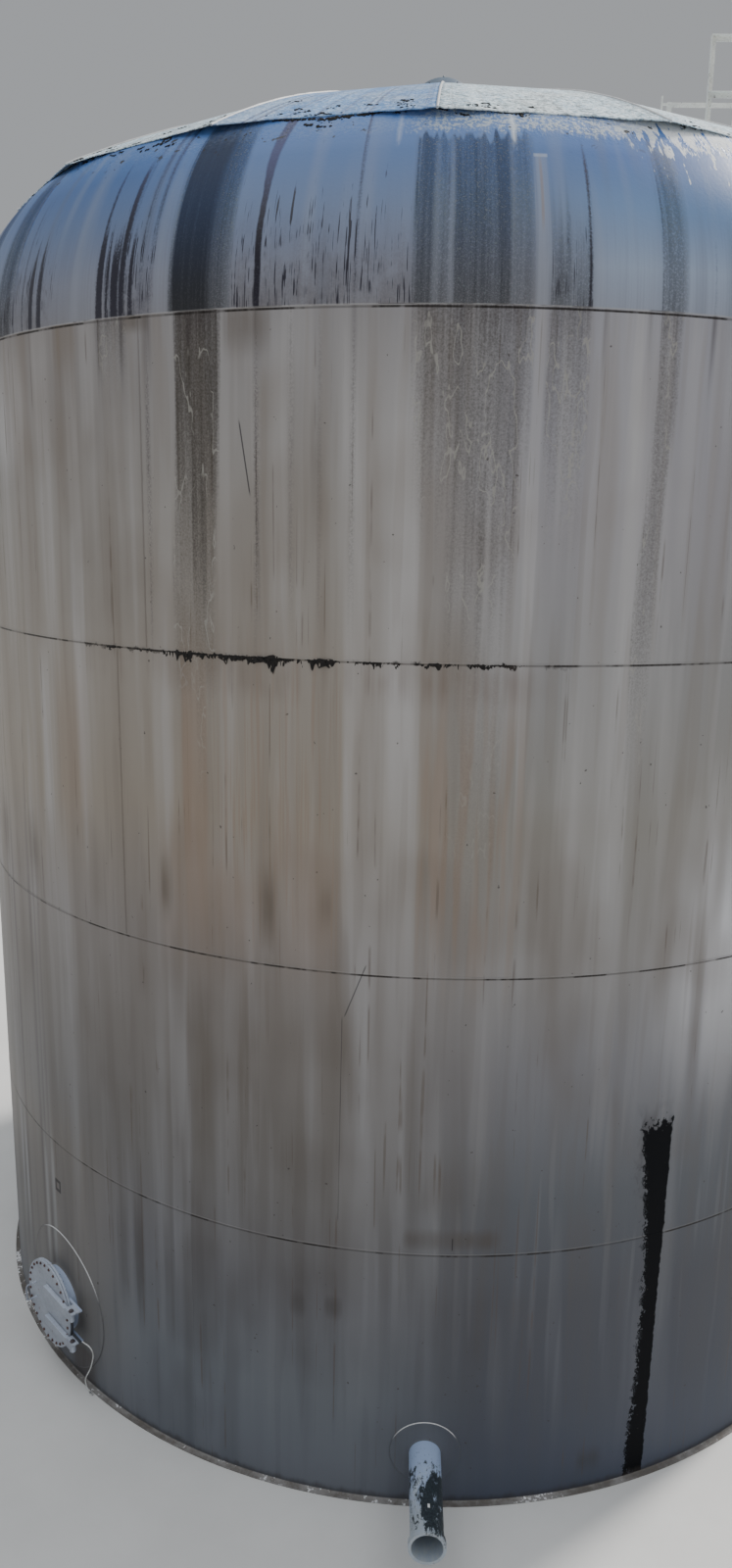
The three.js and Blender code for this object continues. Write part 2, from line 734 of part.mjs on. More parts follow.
function makeCord() {
  const route = cordPoints.map((p) => new THREE.Vector3(...p));
  const path = new THREE.CatmullRomCurve3(route);
  const section = new THREE.Shape();
  for (let k = 0; k < cordSides; k += 1) {
    const angle = (2 * Math.PI * k) / cordSides;
    const corner = [cordRadius * Math.cos(angle), cordRadius * Math.sin(angle)];
    if (k === 0) {
      section.moveTo(...corner);
    } else {
      section.lineTo(...corner);
    }
  }
  section.closePath();
  const tube = new THREE.ExtrudeGeometry(section, { steps: cordSteps, extrudePath: path });
  add("cord", tube, "cord");
  const end = route[route.length - 1];
  const heading = path.getTangent(1).setZ(0).normalize();
  const fitting = new THREE.CylinderGeometry(fittingRadius, fittingRadius, fittingLength, 12);
  const lie = new THREE.Quaternion().setFromUnitVectors(new THREE.Vector3(0, 1, 0), heading);
  const middle = end.clone().addScaledVector(heading, fittingLength / 2 + 2 * gap);
  add("cord_fitting", fitting.applyQuaternion(lie).translate(middle.x, middle.y, fittingRadius), "steel");
}

makeBottom();
makeShell();
makeKnuckle();
makeCrown();
makeVent();
makeManway();
makeOutlet();
makeRails();
makeHatch();
makeLadder();
makeCord();

export default tank;
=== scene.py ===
"""Looks of a vertical storage tank of welded steel plate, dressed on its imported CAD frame.

Metres, +Z up, the tank's axis on Z and its front towards -Y. Azimuths are degrees from the front
towards +X. Pieces that stand out from the shell are worked out at the front and then turned.
"""

import math
from functools import cache, reduce

import bmesh
import bpy
import numpy as np
from bpy.props import FloatProperty, FloatVectorProperty, IntProperty, PointerProperty
from mathutils import Matrix, Vector


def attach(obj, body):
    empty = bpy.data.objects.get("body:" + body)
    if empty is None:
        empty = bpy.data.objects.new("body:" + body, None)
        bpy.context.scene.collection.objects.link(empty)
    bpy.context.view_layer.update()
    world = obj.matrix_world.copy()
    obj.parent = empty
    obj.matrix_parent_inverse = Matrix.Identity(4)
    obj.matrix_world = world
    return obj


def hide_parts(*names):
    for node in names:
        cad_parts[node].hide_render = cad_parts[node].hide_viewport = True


bl_info = {
    "name": "Welded plate storage tank",
    "version": (1, 0, 0),
    "blender": (4, 5, 0),
    "location": "View3D > Sidebar > Tank",
    "description": "Plates, welds, fittings and weathered paint of a storage tank with a manway",
    "category": "Add Mesh",
}

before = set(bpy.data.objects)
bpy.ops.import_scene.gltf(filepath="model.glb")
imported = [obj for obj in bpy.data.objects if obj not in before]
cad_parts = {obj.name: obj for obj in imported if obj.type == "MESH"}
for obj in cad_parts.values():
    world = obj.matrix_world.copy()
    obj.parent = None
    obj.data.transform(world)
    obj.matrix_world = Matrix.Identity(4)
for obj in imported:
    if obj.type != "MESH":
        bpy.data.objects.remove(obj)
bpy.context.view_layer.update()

# Where the plates meet, in degrees and metres
SEAM_AZIMUTH = -0.9
FIRST_COURSE = {"manway_side": -113.4, "front": -23.4, "ladder_side": 66.6, "back": 156.6}
UPPER_COURSES = {2: -120.9, 3: -30.9, 4: -27.15}
SHELL_FOOT = 0.0083
SEAM_HEIGHTS = (2.446, 4.884, 7.322, 9.76)
SHELL_TOP = SEAM_HEIGHTS[-1]
PLATE_GAP = 0.0003
GORES = 16
GORE_TURN = 360 / GORES

# How far up the knuckle's arc the crown's eave is, in degrees, and how far the eave overhangs it
EAVE_ANGLE = 48.4
EAVE_OVERHANG = 0.005

# Corners closer than this are one corner
MERGE_DISTANCE = 2e-6

# The camera's place, as fitted to the seams and the outline
CAMERA_PLACE = (0.0, -13.154, 8.343)


def linear(red, green, blue):
    """Scene-linear colour of an 8-bit screen colour."""
    c = np.array([red, green, blue]) / 255
    return tuple(float(v) for v in np.where(c <= 0.04045, c / 12.92, ((c + 0.055) / 1.055) ** 2.4))


def length(name, text, default, low=0.0):
    return FloatProperty(name=name, description=text, default=default, min=low, unit="LENGTH", precision=4)


def plain(name, text, default, **more):
    return FloatProperty(name=name, description=text, default=default, **more)


def tint(name, text, *screen):
    return FloatVectorProperty(name=name, description=text, default=linear(*screen), subtype="COLOR",
                               size=3, min=0, max=1)


class ShellSizes(bpy.types.PropertyGroup):
    """Sizes of the shell, the knuckle and their welds."""

    radius: length("Shell radius", "Outer radius of the shell courses", 4.877)
    plate: length("Plate thickness", "Thickness of the shell plates", 0.008)
    knuckle: length("Knuckle radius", "Radius of the arc that turns the shell into the roof", 1.834)
    knuckle_plate: length("Knuckle thickness", "Thickness of the knuckle and crown plates", 0.006)
    waviness: length("Waviness", "How far the plates dip between their seams", 0.003)
    bead_width: length("Bead width", "Width of a weld bead between two plates", 0.010)
    bead_height: length("Bead height", "How far a weld bead stands proud", 0.0015)
    chime: length("Chime", "How far the bottom plate stands out past the shell", 0.05)
    crust: length("Crust", "How far the black crust under a seam stands out", 0.014)


class RoofSizes(bpy.types.PropertyGroup):
    """Sizes of the crown and the vent."""

    eave: length("Eave apothem", "Distance from the axis to the middle of a crown plate's eave", 4.26561)
    slope: plain("Eave slope", "Slope of the crown at its eave", math.radians(28.4), subtype="ANGLE")
    curve: length("Crown curve", "Radius of the crown plates' arc", 10.544)
    centre: length("Centre plate", "Apothem of the sixteen-sided centre plate", 0.42)
    vent_shift: length("Vent shift", "Distance of the vent from the axis", -0.045, -1.0)
    vent_neck: length("Vent neck", "Outer radius of the vent's neck", 0.2)
    vent_cap: length("Vent cap", "Outer radius of the vent's cap", 0.3)
    vent_dome: length("Vent dome", "Radius of the sphere that the cap is cut from", 0.375)
    vent_top: length("Vent top", "Height of the cap's top above the crown", 0.395)


class ManwaySizes(bpy.types.PropertyGroup):
    """Sizes of the hinged manway."""

    azimuth: plain("Azimuth", "Degrees from the front", -45.2)
    height: length("Height", "Height of the manway's centre", 0.75)
    bore: length("Bore", "Inner radius of the neck", 0.305)
    neck: length("Neck", "Outer radius of the neck", 0.318)
    pad: length("Pad", "Radius of the reinforcing pad", 0.702)
    flange: length("Flange", "Outer radius of the flange and the cover", 0.431)
    bolt_circle: length("Bolt circle", "Radius of the circle of bolts", 0.398)
    bolts: IntProperty(name="Bolts", description="Number of bolts round the cover", default=28, min=4)
    cord: length("Cord", "Diameter of the cord on the lower lug", 0.012)


class OutletSizes(bpy.types.PropertyGroup):
    """Sizes of the outlet nozzle."""

    azimuth: plain("Azimuth", "Degrees from the front", 1.7)
    height: length("Height", "Height of the nozzle's centre", 0.517)
    bore: length("Bore", "Inner radius of the pipe", 0.127)
    outer: length("Outer", "Outer radius of the pipe", 0.1365)
    pad: length("Pad", "Radius of the reinforcing pad", 0.3)
    reach: length("Reach", "Length of the pipe from the shell to its face", 0.95)
    rim: length("Rim", "Outer radius of the rim at the face", 0.152)


class AccessSizes(bpy.types.PropertyGroup):
    """Sizes of the ladder and the hatch at the landing."""

    azimuth: plain("Azimuth", "Degrees from the front", 92.0)
    shift: length("Shift", "Distance of the landing to the side of its azimuth", 0.1)
    ladder_out: length("Ladder stand-off", "Distance from the shell to the side bars", 0.2)
    half_width: length("Half width", "Half the distance between the side bars", 0.225)
    rung: length("Rung", "Diameter of a rung", 0.02)
    spacing: length("Spacing", "Distance between rungs", 0.305)
    hatch: length("Hatch", "Outer radius of the hatch's neck", 0.305)
    hatch_along: length("Hatch distance", "Distance of the hatch from the axis", 3.4)


class TankColours(bpy.types.PropertyGroup):
    """Colours of the paint and of what has settled on it."""

    violet: tint("Dark streaks", "Thin dark streaks below the eave", 18, 15, 32)
    rust: tint("Rust wash", "Rusty run-off on the courses", 132, 110, 92)
    crust: tint("Crust", "Black crust below a seam and clumps near the eave", 14, 13, 13)
    tar: tint("Sealant", "Strip of old sealant on the right of the front", 1, 3, 8)
    fitting: tint("Fittings", "White paint of the manway and the outlet", 176, 184, 198)
    bare: tint("Bare steel", "Dark steel where the white paint has come off", 36, 42, 50)
    rail: tint("Rails", "Paint of the rails and the ladder", 228, 228, 222)
    floor: tint("Floor", "Pale studio floor", 205, 204, 202)


class StageSettings(bpy.types.PropertyGroup):
    """Camera and light."""

    lens: plain("Lens", "Focal length in mm on a 36 mm frame", 26.176)
    yaw: plain("Yaw", "Turn to the left", 0.0552096, subtype="ANGLE")
    pitch: plain("Pitch", "Tilt down", 0.2291752, subtype="ANGLE")
    roll: plain("Roll", "Roll about the view", -0.0166894, subtype="ANGLE")
    fill: plain("Fill", "Strength of the light from all round", 0.4)
    key: plain("Key", "Strength of the light from behind", 4.6)
    top: plain("Top", "Strength of the wide light from above", 1.9)


def turn(points, azimuth):
    """Points turned about the tank's axis by an azimuth in degrees."""
    points = np.asarray(points, float)
    c, s = math.cos(math.radians(azimuth)), math.sin(math.radians(azimuth))
    x, y = points[..., 0], points[..., 1]
    return np.stack([x * c - y * s, x * s + y * c, points[..., 2]], -1)


def around(azimuth, radius, height):
    """Points at azimuths in degrees, distances from the axis and heights."""
    a = np.radians(azimuth)
    return np.stack(np.broadcast_arrays(radius * np.sin(a), -radius * np.cos(a), height), -1).astype(float)


def weave(rows, columns, close_rows=False, close_columns=False):
    """Quads of a grid: corner (i, j) joins (i+1, j), (i+1, j+1) and (i, j+1), and wraps where closed."""
    i = np.arange(rows if close_rows else rows - 1)[:, None]
    j = np.arange(columns if close_columns else columns - 1)[None, :]
    i2, j2 = (i + 1) % rows, (j + 1) % columns
    corners = np.broadcast_arrays(i * columns + j, i2 * columns + j, i2 * columns + j2, i * columns + j2)
    return np.stack(corners, -1).reshape(-1, 4)


def carry(sections, ring=False):
    """A closed section of an even number of corners carried along a path: stations x corners x 3.
    Neighbouring stations are joined by quads, and open ends are closed by a ladder of quads."""
    sections = np.asarray(sections, float)
    n, m, _ = sections.shape
    faces = weave(n, m, ring, True)
    if not ring:
        k = np.arange(m // 2 - 1)
        cap = np.stack([k, k + 1, m - 2 - k, m - 1 - k], -1)
        faces = np.concatenate([faces, cap, (n - 1) * m + cap[:, ::-1]])
    return sections.reshape(-1, 3), [faces]


def raised(outline, direction):
    """A flat outline carried straight along a vector, with its two ends as single faces."""
    outline = np.asarray(outline, float)
    n = len(outline)
    i = np.arange(n)
    sides = np.stack([i, (i + 1) % n, (i + 1) % n + n, i + n], -1)
    points = np.concatenate([outline, outline + np.asarray(direction, float)])
    return points, [sides, i[None, ::-1], i[None] + n]


def block(low, high):
    """A box between two corners, as its rectangle carried up."""
    (x0, y0, z0), (x1, y1, z1) = low, high
    return raised([[x0, y0, z0], [x1, y0, z0], [x1, y1, z0], [x0, y1, z0]], [0, 0, z1 - z0])


def lathe(profile, place, sides):
    """A closed profile of (radius, along) points turned about an axis. place(radius, along, angle)
    gives the points, with the angle in radians from 0 to 2 pi in equal steps."""
    profile = np.asarray(profile, float)
    angle = np.linspace(0, 2 * np.pi, sides, endpoint=False)[:, None]
    return carry(place(*np.broadcast_arrays(profile[None, :, 0], profile[None, :, 1], angle)), ring=True)


def upright(x=0.0, y=0.0, z=0.0):
    """A lathe's placing about an upright axis through a point."""
    return lambda r, a, t: np.stack([x + r * np.cos(t), y + r * np.sin(t), z + a], -1)


def pointing(origin, axis, start=0.0):
    """A lathe's placing about any axis: origin + along * axis + radius * (cos * u + sin * v), where u
    and v are square to the axis."""
    w = np.asarray(axis, float) / np.linalg.norm(axis)
    u = np.cross([0.0, 0.0, 1.0] if abs(w[2]) < 0.9 else [1.0, 0.0, 0.0], w)
    u /= np.linalg.norm(u)
    v = np.cross(w, u)

    def place(r, a, t):
        r, a, t = r[..., None], a[..., None], t[..., None] + start
        return np.asarray(origin, float) + a * w + r * (np.cos(t) * u + np.sin(t) * v)

    return place


def out_of_shell(sizes, fitting, bent=False):
    """A lathe's placing about a fitting's axis, which points out of the shell. along is the distance
    out from the shell on that axis or, where bent, square to the curved shell."""
    def place(r, a, t):
        x = r * np.cos(t)
        y = -np.sqrt((sizes.radius + a) ** 2 - x**2) if bent else -(sizes.radius + a)
        return turn(np.stack([x, y, fitting.height + r * np.sin(t)], -1), fitting.azimuth)

    return place


def rod(path, radius, sides, side=(0.0, 0.0, 1.0), swell=None):
    """A round section carried along a path: at each station the section lies square to the path, in
    the plane of two directions worked out from a fixed side direction. swell multiplies the radius,
    by station or by station and corner."""
    path = np.asarray(path, float)
    along = np.gradient(path, axis=0)
    along /= np.linalg.norm(along, axis=1, keepdims=True)
    u = np.cross(np.asarray(side, float), along)
    u /= np.linalg.norm(u, axis=1, keepdims=True)
    v = np.cross(along, u)
    angle = np.linspace(0, 2 * np.pi, sides, endpoint=False)
    size = radius if swell is None else radius * swell[..., None]
    angle = angle[None, :, None]
    return carry(path[:, None] + size * (np.cos(angle) * u[:, None] + np.sin(angle) * v[:, None]))


def rough(u, v, cells, seed):
    """Smooth noise from 0 to 1: a random value at each pair of whole numbers, blended between them by
    a smoothstep. It repeats after `cells` along u and 64 along v."""
    grid = np.random.default_rng(seed).random((cells, 64))
    u, v = np.broadcast_arrays(np.asarray(u, float), np.asarray(v, float))
    i, j = np.floor(u).astype(int), np.floor(v).astype(int)
    f, g = u - i, v - j
    f, g = f * f * (3 - 2 * f), g * g * (3 - 2 * g)
    low, high = (grid[i % cells, k % 64] * (1 - f) + grid[(i + 1) % cells, k % 64] * f for k in (j, j + 1))
    return low * (1 - g) + high * g


def volume(points, faces):
    """Six times the signed volume of a closed surface, by fans of triangles from each face's first corner."""
    total = 0.0
    for quads in faces:
        for k in range(1, quads.shape[1] - 1):
            a, b, c = points[quads[:, 0]], points[quads[:, k]], points[quads[:, k + 1]]
            total += float(np.einsum("ij,ij->", a, np.cross(b, c)))
    return total


def outwardness(points, faces):
    """Above 0 where an open part's faces point away from the tank's axis, and up, on the whole."""
    a, b, c = (points[faces[0][:, k]] for k in range(3))
    return float((np.cross(b - a, c - a) * a * [1, 1, 0.3]).sum())


def build(name, parts, finish, body="tank", stands_for=(), closed=True, sharp=35.0,
          bevel=0.0, thicken=0.0):
    """One object from parts, each points and arrays of faces. Each part is turned to face outward,
    corners that meet are merged, which closes seams and poles, and the piece rides on its body."""
    points, faces, count = [], [], 0
    for corners, arrays in parts:
        corners = np.asarray(corners, float)
        if (volume if closed else outwardness)(corners, arrays) < 0:
            arrays = [f[:, ::-1] for f in arrays]
        points.append(corners)
        faces += [f + count for f in arrays]
        count += len(corners)
    widths = np.concatenate([np.full(len(f), f.shape[1]) for f in faces])
    mesh = bpy.data.meshes.new(name)
    mesh.vertices.add(count)
    mesh.vertices.foreach_set("co", np.concatenate(points).astype(np.float32).ravel())
    mesh.loops.add(int(widths.sum()))
    mesh.loops.foreach_set("vertex_index", np.concatenate([f.ravel() for f in faces]).astype(np.int32))
    mesh.polygons.add(len(widths))
    mesh.polygons.foreach_set("loop_start", np.concatenate([[0], np.cumsum(widths)[:-1]]).astype(np.int32))
    mesh.update(calc_edges=True)
    mesh.validate()
    held = bmesh.new()
    held.from_mesh(mesh)
    bmesh.ops.remove_doubles(held, verts=held.verts, dist=MERGE_DISTANCE)
    held.to_mesh(mesh)
    held.free()
    mesh.shade_smooth()
    mesh.set_sharp_from_angle(angle=math.radians(sharp))
    mesh.materials.append(paint(finish))
    piece = bpy.data.objects.new(name, mesh)
    bpy.context.scene.collection.objects.link(piece)
    if thicken:
        solid = piece.modifiers.new("Plate", "SOLIDIFY")
        solid.thickness, solid.offset = thicken, -1
    if bevel:
        edge = piece.modifiers.new("Edges", "BEVEL")
        edge.width, edge.segments, edge.limit_method = bevel, 2, "ANGLE"
        edge.angle_limit = math.radians(50)
    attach(piece, body)
    if stands_for:
        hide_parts(*stands_for)
    return piece


def turned(name, profile, place, sides, finish, *nodes, body="tank"):
    """One piece turned from a profile, standing for the CAD nodes that are named."""
    return build(name, [lathe(profile, place, sides)], finish, body, stands_for=nodes)


def edged(low, high, count):
    """Even stations from low to high with one more just inside each end, so that the corner of a
    thickened plate doesn't soften the shading of its whole outer row."""
    inside = (high - low) * 0.0008
    return np.concatenate([[low, low + inside], np.linspace(low, high, count)[1:-1], [high - inside, high]])


class Number:
    """A number that varies over a surface: one output of a node. Python's operators add Math nodes."""

    def __init__(self, finish, socket):
        self.finish, self.socket = finish, socket

    def op(self, operation, *values):
        """A Math node's result from some values, of which this number may be one."""
        return self.finish.number("ShaderNodeMath", {"operation": operation}, dict(enumerate(values)))

    def __add__(self, other):
        return self.op("ADD", self, other)

    def __radd__(self, other):
        return self.op("ADD", other, self)

    def __sub__(self, other):
        return self.op("SUBTRACT", self, other)

    def __rsub__(self, other):
        return self.op("SUBTRACT", other, self)

    def __mul__(self, other):
        return self.op("MULTIPLY", self, other)

    def __rmul__(self, other):
        return self.op("MULTIPLY", other, self)

    def __truediv__(self, other):
        return self.op("DIVIDE", self, other)

    def __abs__(self):
        return self.op("ABSOLUTE", self)

    def least(self, other):
        return self.op("MINIMUM", self, other)

    def most(self, other):
        return self.op("MAXIMUM", self, other)

    def ease(self, low, high):
        """0 at low and 1 at high, with a smooth step between them; low may be the larger."""
        return self.finish.number("ShaderNodeMapRange", {"interpolation_type": "SMOOTHSTEP"},
                                  {0: self, 1: low, 2: high, 3: 0.0, 4: 1.0})

    def between(self, low, high, soft):
        """1 from low to high and 0 outside, with soft edges."""
        return self.ease(low - soft, low + soft) * self.ease(high + soft, high - soft)

    def near(self, centre, half, soft):
        """1 within half of centre and 0 past half + soft."""
        return abs(self - centre).ease(half + soft, half)


def strongest(numbers):
    """The largest of some numbers at each spot."""
    return reduce(Number.most, numbers)


class Finish:
    """One material under construction, with the colour that its layers have come to so far. A colour
    is a socket, a property, or a tuple of 8-bit screen values."""

    def __init__(self, name):
        self.material = bpy.data.materials.new(name)
        self.material.use_nodes = True
        self.tree = self.material.node_tree
        self.tree.nodes.clear()
        self.place = self.node("ShaderNodeTexCoord").outputs["Object"]
        parts = self.node("ShaderNodeSeparateXYZ", None, {0: self.place})
        self.x, self.y, self.z = (Number(self, parts.outputs[k]) for k in range(3))

    def node(self, kind, settings=None, sockets=None):
        """A node of a type, with its settings made first and then its sockets' values or links."""
        made = self.tree.nodes.new(kind)
        settings = dict(settings or {})
        stops = settings.pop("stops", None)
        for key, value in settings.items():
            setattr(made, key, value)
        if stops:
            self._stops(made.color_ramp, stops)
        for key, value in (sockets or {}).items():
            if isinstance(value, Number):
                value = value.socket
            if isinstance(value, bpy.types.NodeSocket):
                self.tree.links.new(value, made.inputs[key])
            else:
                made.inputs[key].default_value = value
        return made

    def _stops(self, ramp, stops):
        while len(ramp.elements) > 1:
            ramp.elements.remove(ramp.elements[-1])
        for k, (place, colour) in enumerate(sorted(stops, key=lambda stop: stop[0])):
            stop = ramp.elements[0] if k == 0 else ramp.elements.new(place)
            stop.position = place
            stop.color = self._colour(colour if isinstance(colour, tuple) else np.full(3, colour))

    @staticmethod
    def _colour(value):
        if isinstance(value, bpy.types.NodeSocket):
            return value
        return (*(linear(*value) if isinstance(value, tuple) else value), 1.0)

    def number(self, kind, settings, sockets):
        return Number(self, self.node(kind, settings, sockets).outputs[0])

    def vector(self, x, y, z):
        return self.node("ShaderNodeCombineXYZ", None, {0: x, 1: y, 2: z}).outputs[0]

    def grain(self, vector, scale, detail=2.0, roughness=0.55, distortion=0.0):
        """Noise from 0 to 1 with its middle at 0.5."""
        return self.number("ShaderNodeTexNoise", {"noise_dimensions": "3D"}, {
            "Vector": vector, "Scale": scale, "Detail": detail, "Roughness": roughness, "Distortion": distortion})

    def mix(self, share, first, second):
        """The first colour, turned to the second where share is 1."""
        sockets = {0: share, 6: self._colour(first), 7: self._colour(second)}
        return self.node("ShaderNodeMix", {"data_type": "RGBA"}, sockets).outputs[2]

    def start(self, share, first, second):
        """Begins the colour as a mix of two."""
        self.colour = self.mix(share, first, second)

    def over(self, share, tint):
        """Lays a tint over the colour so far where share is 1."""
        self.start(share, self.colour, tint)

    def ramp(self, value, stops):
        """A colour looked up along a number from 0 to 1."""
        return self.node("ShaderNodeValToRGB", {"stops": stops}, {0: value}).outputs[0]

    def done(self, roughness, height, distance, strength=0.5, metallic=0.0, specular=None):
        """The material, with bumps of a height in metres."""
        bump = self.node("ShaderNodeBump", None, {"Strength": strength, "Distance": distance, "Height": height})
        sockets = {"Base Color": self.colour, "Roughness": roughness, "Metallic": metallic,
                   "Normal": bump.outputs[0]}
        if specular is not None:
            sockets["Specular IOR Level"] = specular
        shader = self.node("ShaderNodeBsdfPrincipled", None, sockets)
        self.node("ShaderNodeOutputMaterial", None, {"Surface": shader.outputs[0]})
        return self.material


class PlatePaint(Finish):
    """Weathered paint of the shell or the knuckle, laid out on the azimuth and on the way up the plates.

    azimuth is in degrees from the front, folded back and forth over the 90 degrees from -52 to 38, so
    that the sides and the back repeat the front; wander is the same, once a paint has made it ragged
    with noise. rise is the height on the shell, and on the knuckle the height of its lower seam plus
    the length of arc above it."""

    FOLD_FROM, FOLD = -52.0, 90.0

    def __init__(self, name, sizes, on_knuckle):
        super().__init__(name)
        x, y, z = self.x, self.y, self.z
        across = x.op("SQRT", x * x + y * y)
        self.true_azimuth = x.op("ARCTAN2", x, y * -1.0) * (180 / math.pi)
        folded = x.op("PINGPONG", self.true_azimuth - self.FOLD_FROM, self.FOLD)
        self.azimuth = self.wander = folded + self.FOLD_FROM
        self.share = folded / self.FOLD
        self.rise = z
        if on_knuckle:
            arc = x.op("ARCTAN2", z - SHELL_TOP, across - (sizes.radius - sizes.knuckle))
            self.rise = arc * sizes.knuckle + SHELL_TOP
        self.x, self.y = x / across * sizes.radius, y / across * sizes.radius

    def runs(self, scale, stretch, detail=2.0, roughness=0.55, shift=0.0):
        """Noise drawn out down the plates: fine round the tank and `stretch` as fine along the run."""
        lane = self.vector(self.x + shift, self.y + shift, self.rise * stretch)
        return self.grain(lane, scale, detail, roughness)

    def lines(self, *marks):
        """A number along the azimuth from marks of (azimuth, half width, strength), as one ramp."""
        stops = []
        for azimuth, half, strength in marks:
            middle, reach = (azimuth - self.FOLD_FROM) / self.FOLD, half / self.FOLD
            stops += [(middle - 1.6 * reach, 0.0), (middle - 0.6 * reach, strength),
                      (middle + 0.6 * reach, strength), (middle + 1.6 * reach, 0.0)]
        return self.number("ShaderNodeValToRGB", {"stops": stops}, {0: self.share})

    def profile(self, *marks):
        """A number along the ragged azimuth, straight between marks of (azimuth, value), as one ramp."""
        stops = [((place - self.FOLD_FROM) / self.FOLD, value) for place, value in marks]
        share = (self.wander - self.FOLD_FROM) / self.FOLD
        return self.number("ShaderNodeValToRGB", {"stops": stops}, {0: share})

    def patches(self, *patches):
        """The strongest of patches of (left, right, top, bottom, soft sides, soft ends, strength)."""
        return strongest(self.wander.between(left, right, soft) * self.rise.between(bottom, top, fade) * strength
                         for left, right, top, bottom, soft, fade, strength in patches)


def knuckle_paint():
    """Glossy paint, bluer towards the eave as a painted reflection of the sky, its dark marks too, with darker
    growth in broad bands, violet-black streaks from the seam up, and a pale granular zone under the eave that is
    painted sunlight."""
    f = PlatePaint("Knuckle paint", bpy.context.scene.tank_shell, True)
    colours, rise, azimuth = bpy.context.scene.tank_colours, f.rise, f.azimuth
    fine, hair, broad = f.runs(16.0, 0.035, 2.0), f.runs(60.0, 0.02, 1.0), f.runs(4.5, 0.10, 1.0)
    speck, patchy = f.grain(f.place, 65.0, 2.0, 0.65), f.runs(5.0, 0.8, 2.0, 0.6)
    ends, thin = f.runs(26.0, 0.0, 0.0, 0.5, 3.0), f.runs(105.0, 0.035, 1.0, 0.5, 2.0)
    f.wander = azimuth + (fine - 0.5) * 0.7 + (hair - 0.5) * 0.45
    climb = (rise - 9.7) / 1.7
    # Painted reflection of the sky: the paint turns blue towards the eave, more so on the right, and gives way to
    # grey away from the front
    left = f.ramp(climb, [(0.0, (120, 119, 123)), (0.2, (119, 123, 137)), (0.45, (94, 112, 145)),
                          (0.7, (60, 97, 151)), (1.0, (62, 116, 186))])
    right = f.ramp(climb, [(0.0, (136, 141, 153)), (0.2, (142, 154, 174)), (0.45, (98, 128, 168)),
                           (0.7, (36, 86, 152)), (1.0, (58, 112, 184))])
    f.start(azimuth.ease(6.0, 16.0), left, right)
    f.over(abs(f.true_azimuth + 7.0).ease(50.0, 72.0) * 0.7, (128, 134, 144))
    f.over(broad.ease(0.52, 0.72) * 0.2, (146, 152, 164))
    f.over(broad.ease(0.48, 0.3) * 0.3, (92, 98, 112))
    f.over((hair - 0.45) * 0.5 * rise.ease(10.9, 9.9), (84, 78, 84))

    # Smudges and thin inky strokes that climb from the seam in four zones
    zone = strongest(f.wander.between(low, high, soft) * strength for low, high, soft, strength in (
        (-17.8, -2.4, 0.7, 1.0), (-32.4, -25.4, 0.4, 1.0), (-49.5, -38.5, 0.8, 0.8), (8.6, 12.4, 0.3, 0.6)))
    reach = rise + (ends - 0.5) * 1.3
    cluster = f.grain(f.vector(f.x, f.y, rise), 3.6, 3.0, 0.65)
    smudge = zone * (rise + (patchy - 0.5) * 1.2 + (cluster - 0.5) * 0.9).ease(10.6, 9.9)
    broken = (cluster - 0.5) * 1.8 + (patchy - 0.5) * 1.4 + (speck - 0.5) * 0.9 + (fine - 0.5) * 0.8
    smudge = smudge * (broken + 0.55)
    f.over(smudge.ease(0.05, 1.1) * 0.46, f.mix(azimuth.near(-29.5, 3.5, 1.0), (70, 62, 64), (50, 44, 56)))
    stroke = (thin - reach.ease(9.9, 10.7) * 0.1).ease(0.54, 0.62)
    inked = zone * stroke * reach.ease(10.75, 10.3) * (cluster - 0.1).ease(0.2, 0.5)

    # Broad bands of growth
    band = f.profile(
        (-50.5, 0.0), (-49.4, 0.6), (-46.9, 0.75), (-46.1, 0.1), (-24.0, 0.0), (-23.4, 1.0), (-20.2, 1.0),
        (-19.7, 0.8), (-18.1, 0.62), (-17.6, 0.0), (-2.5, 0.0), (-2.2, 0.74), (-0.95, 0.76), (-0.7, 0.54),
        (0.15, 0.56), (0.35, 0.4), (0.95, 0.38), (1.1, 0.72), (4.4, 0.68), (4.7, 0.78), (5.4, 0.76), (5.6, 0.5),
        (7.3, 0.45), (7.6, 0.0), (17.9, 0.0), (18.5, 0.54), (20.2, 0.5), (20.7, 0.0), (30.5, 0.0), (31.5, 0.6),
        (34.5, 0.5), (35.5, 0.0))
    faded = azimuth.ease(-17.0, -17.6) * (rise.ease(11.5, 11.0) * 0.5 + 0.5)
    band = band * (rise + (ends - 0.5) * 0.25).ease(11.06, 11.0).most(faded)
    east = f.profile((8.5, 0.0), (8.9, 0.62), (10.2, 0.55), (10.5, 0.25), (11.0, 0.5), (12.0, 0.45), (12.4, 0.0))
    band = band.most(east * (rise + (ends - 0.5) * 0.9).ease(10.7, 9.9))
    steady = band.ease(0.6, 0.95)
    growth = band * (1.0 + (fine - 0.5) * (0.7 - steady * 0.45) + (hair - 0.5) * (0.55 - steady * 0.3))
    growth = growth + (speck - 0.5) * 1.3 * band.ease(0.0, 0.5) * (1.0 - steady * 0.75)
    # The growth turns blue towards the eave with the painted reflection of the sky
    dark = f.mix(rise.ease(9.75, 10.7), (16, 18, 25), (5, 31, 64))
    mossy = band.ease(0.85, 0.5) * rise.ease(10.0, 10.4) * rise.ease(10.8, 10.5) * 0.5
    f.over(growth.most(0.0).least(1.0), f.mix(mossy, dark, (52, 64, 56)))
    frost = speck.ease(0.55, 0.65) * band.ease(0.05, 0.4) * (1.0 - band.ease(0.7, 0.9) * 0.9)
    f.over(frost * 0.22, (160, 168, 176))

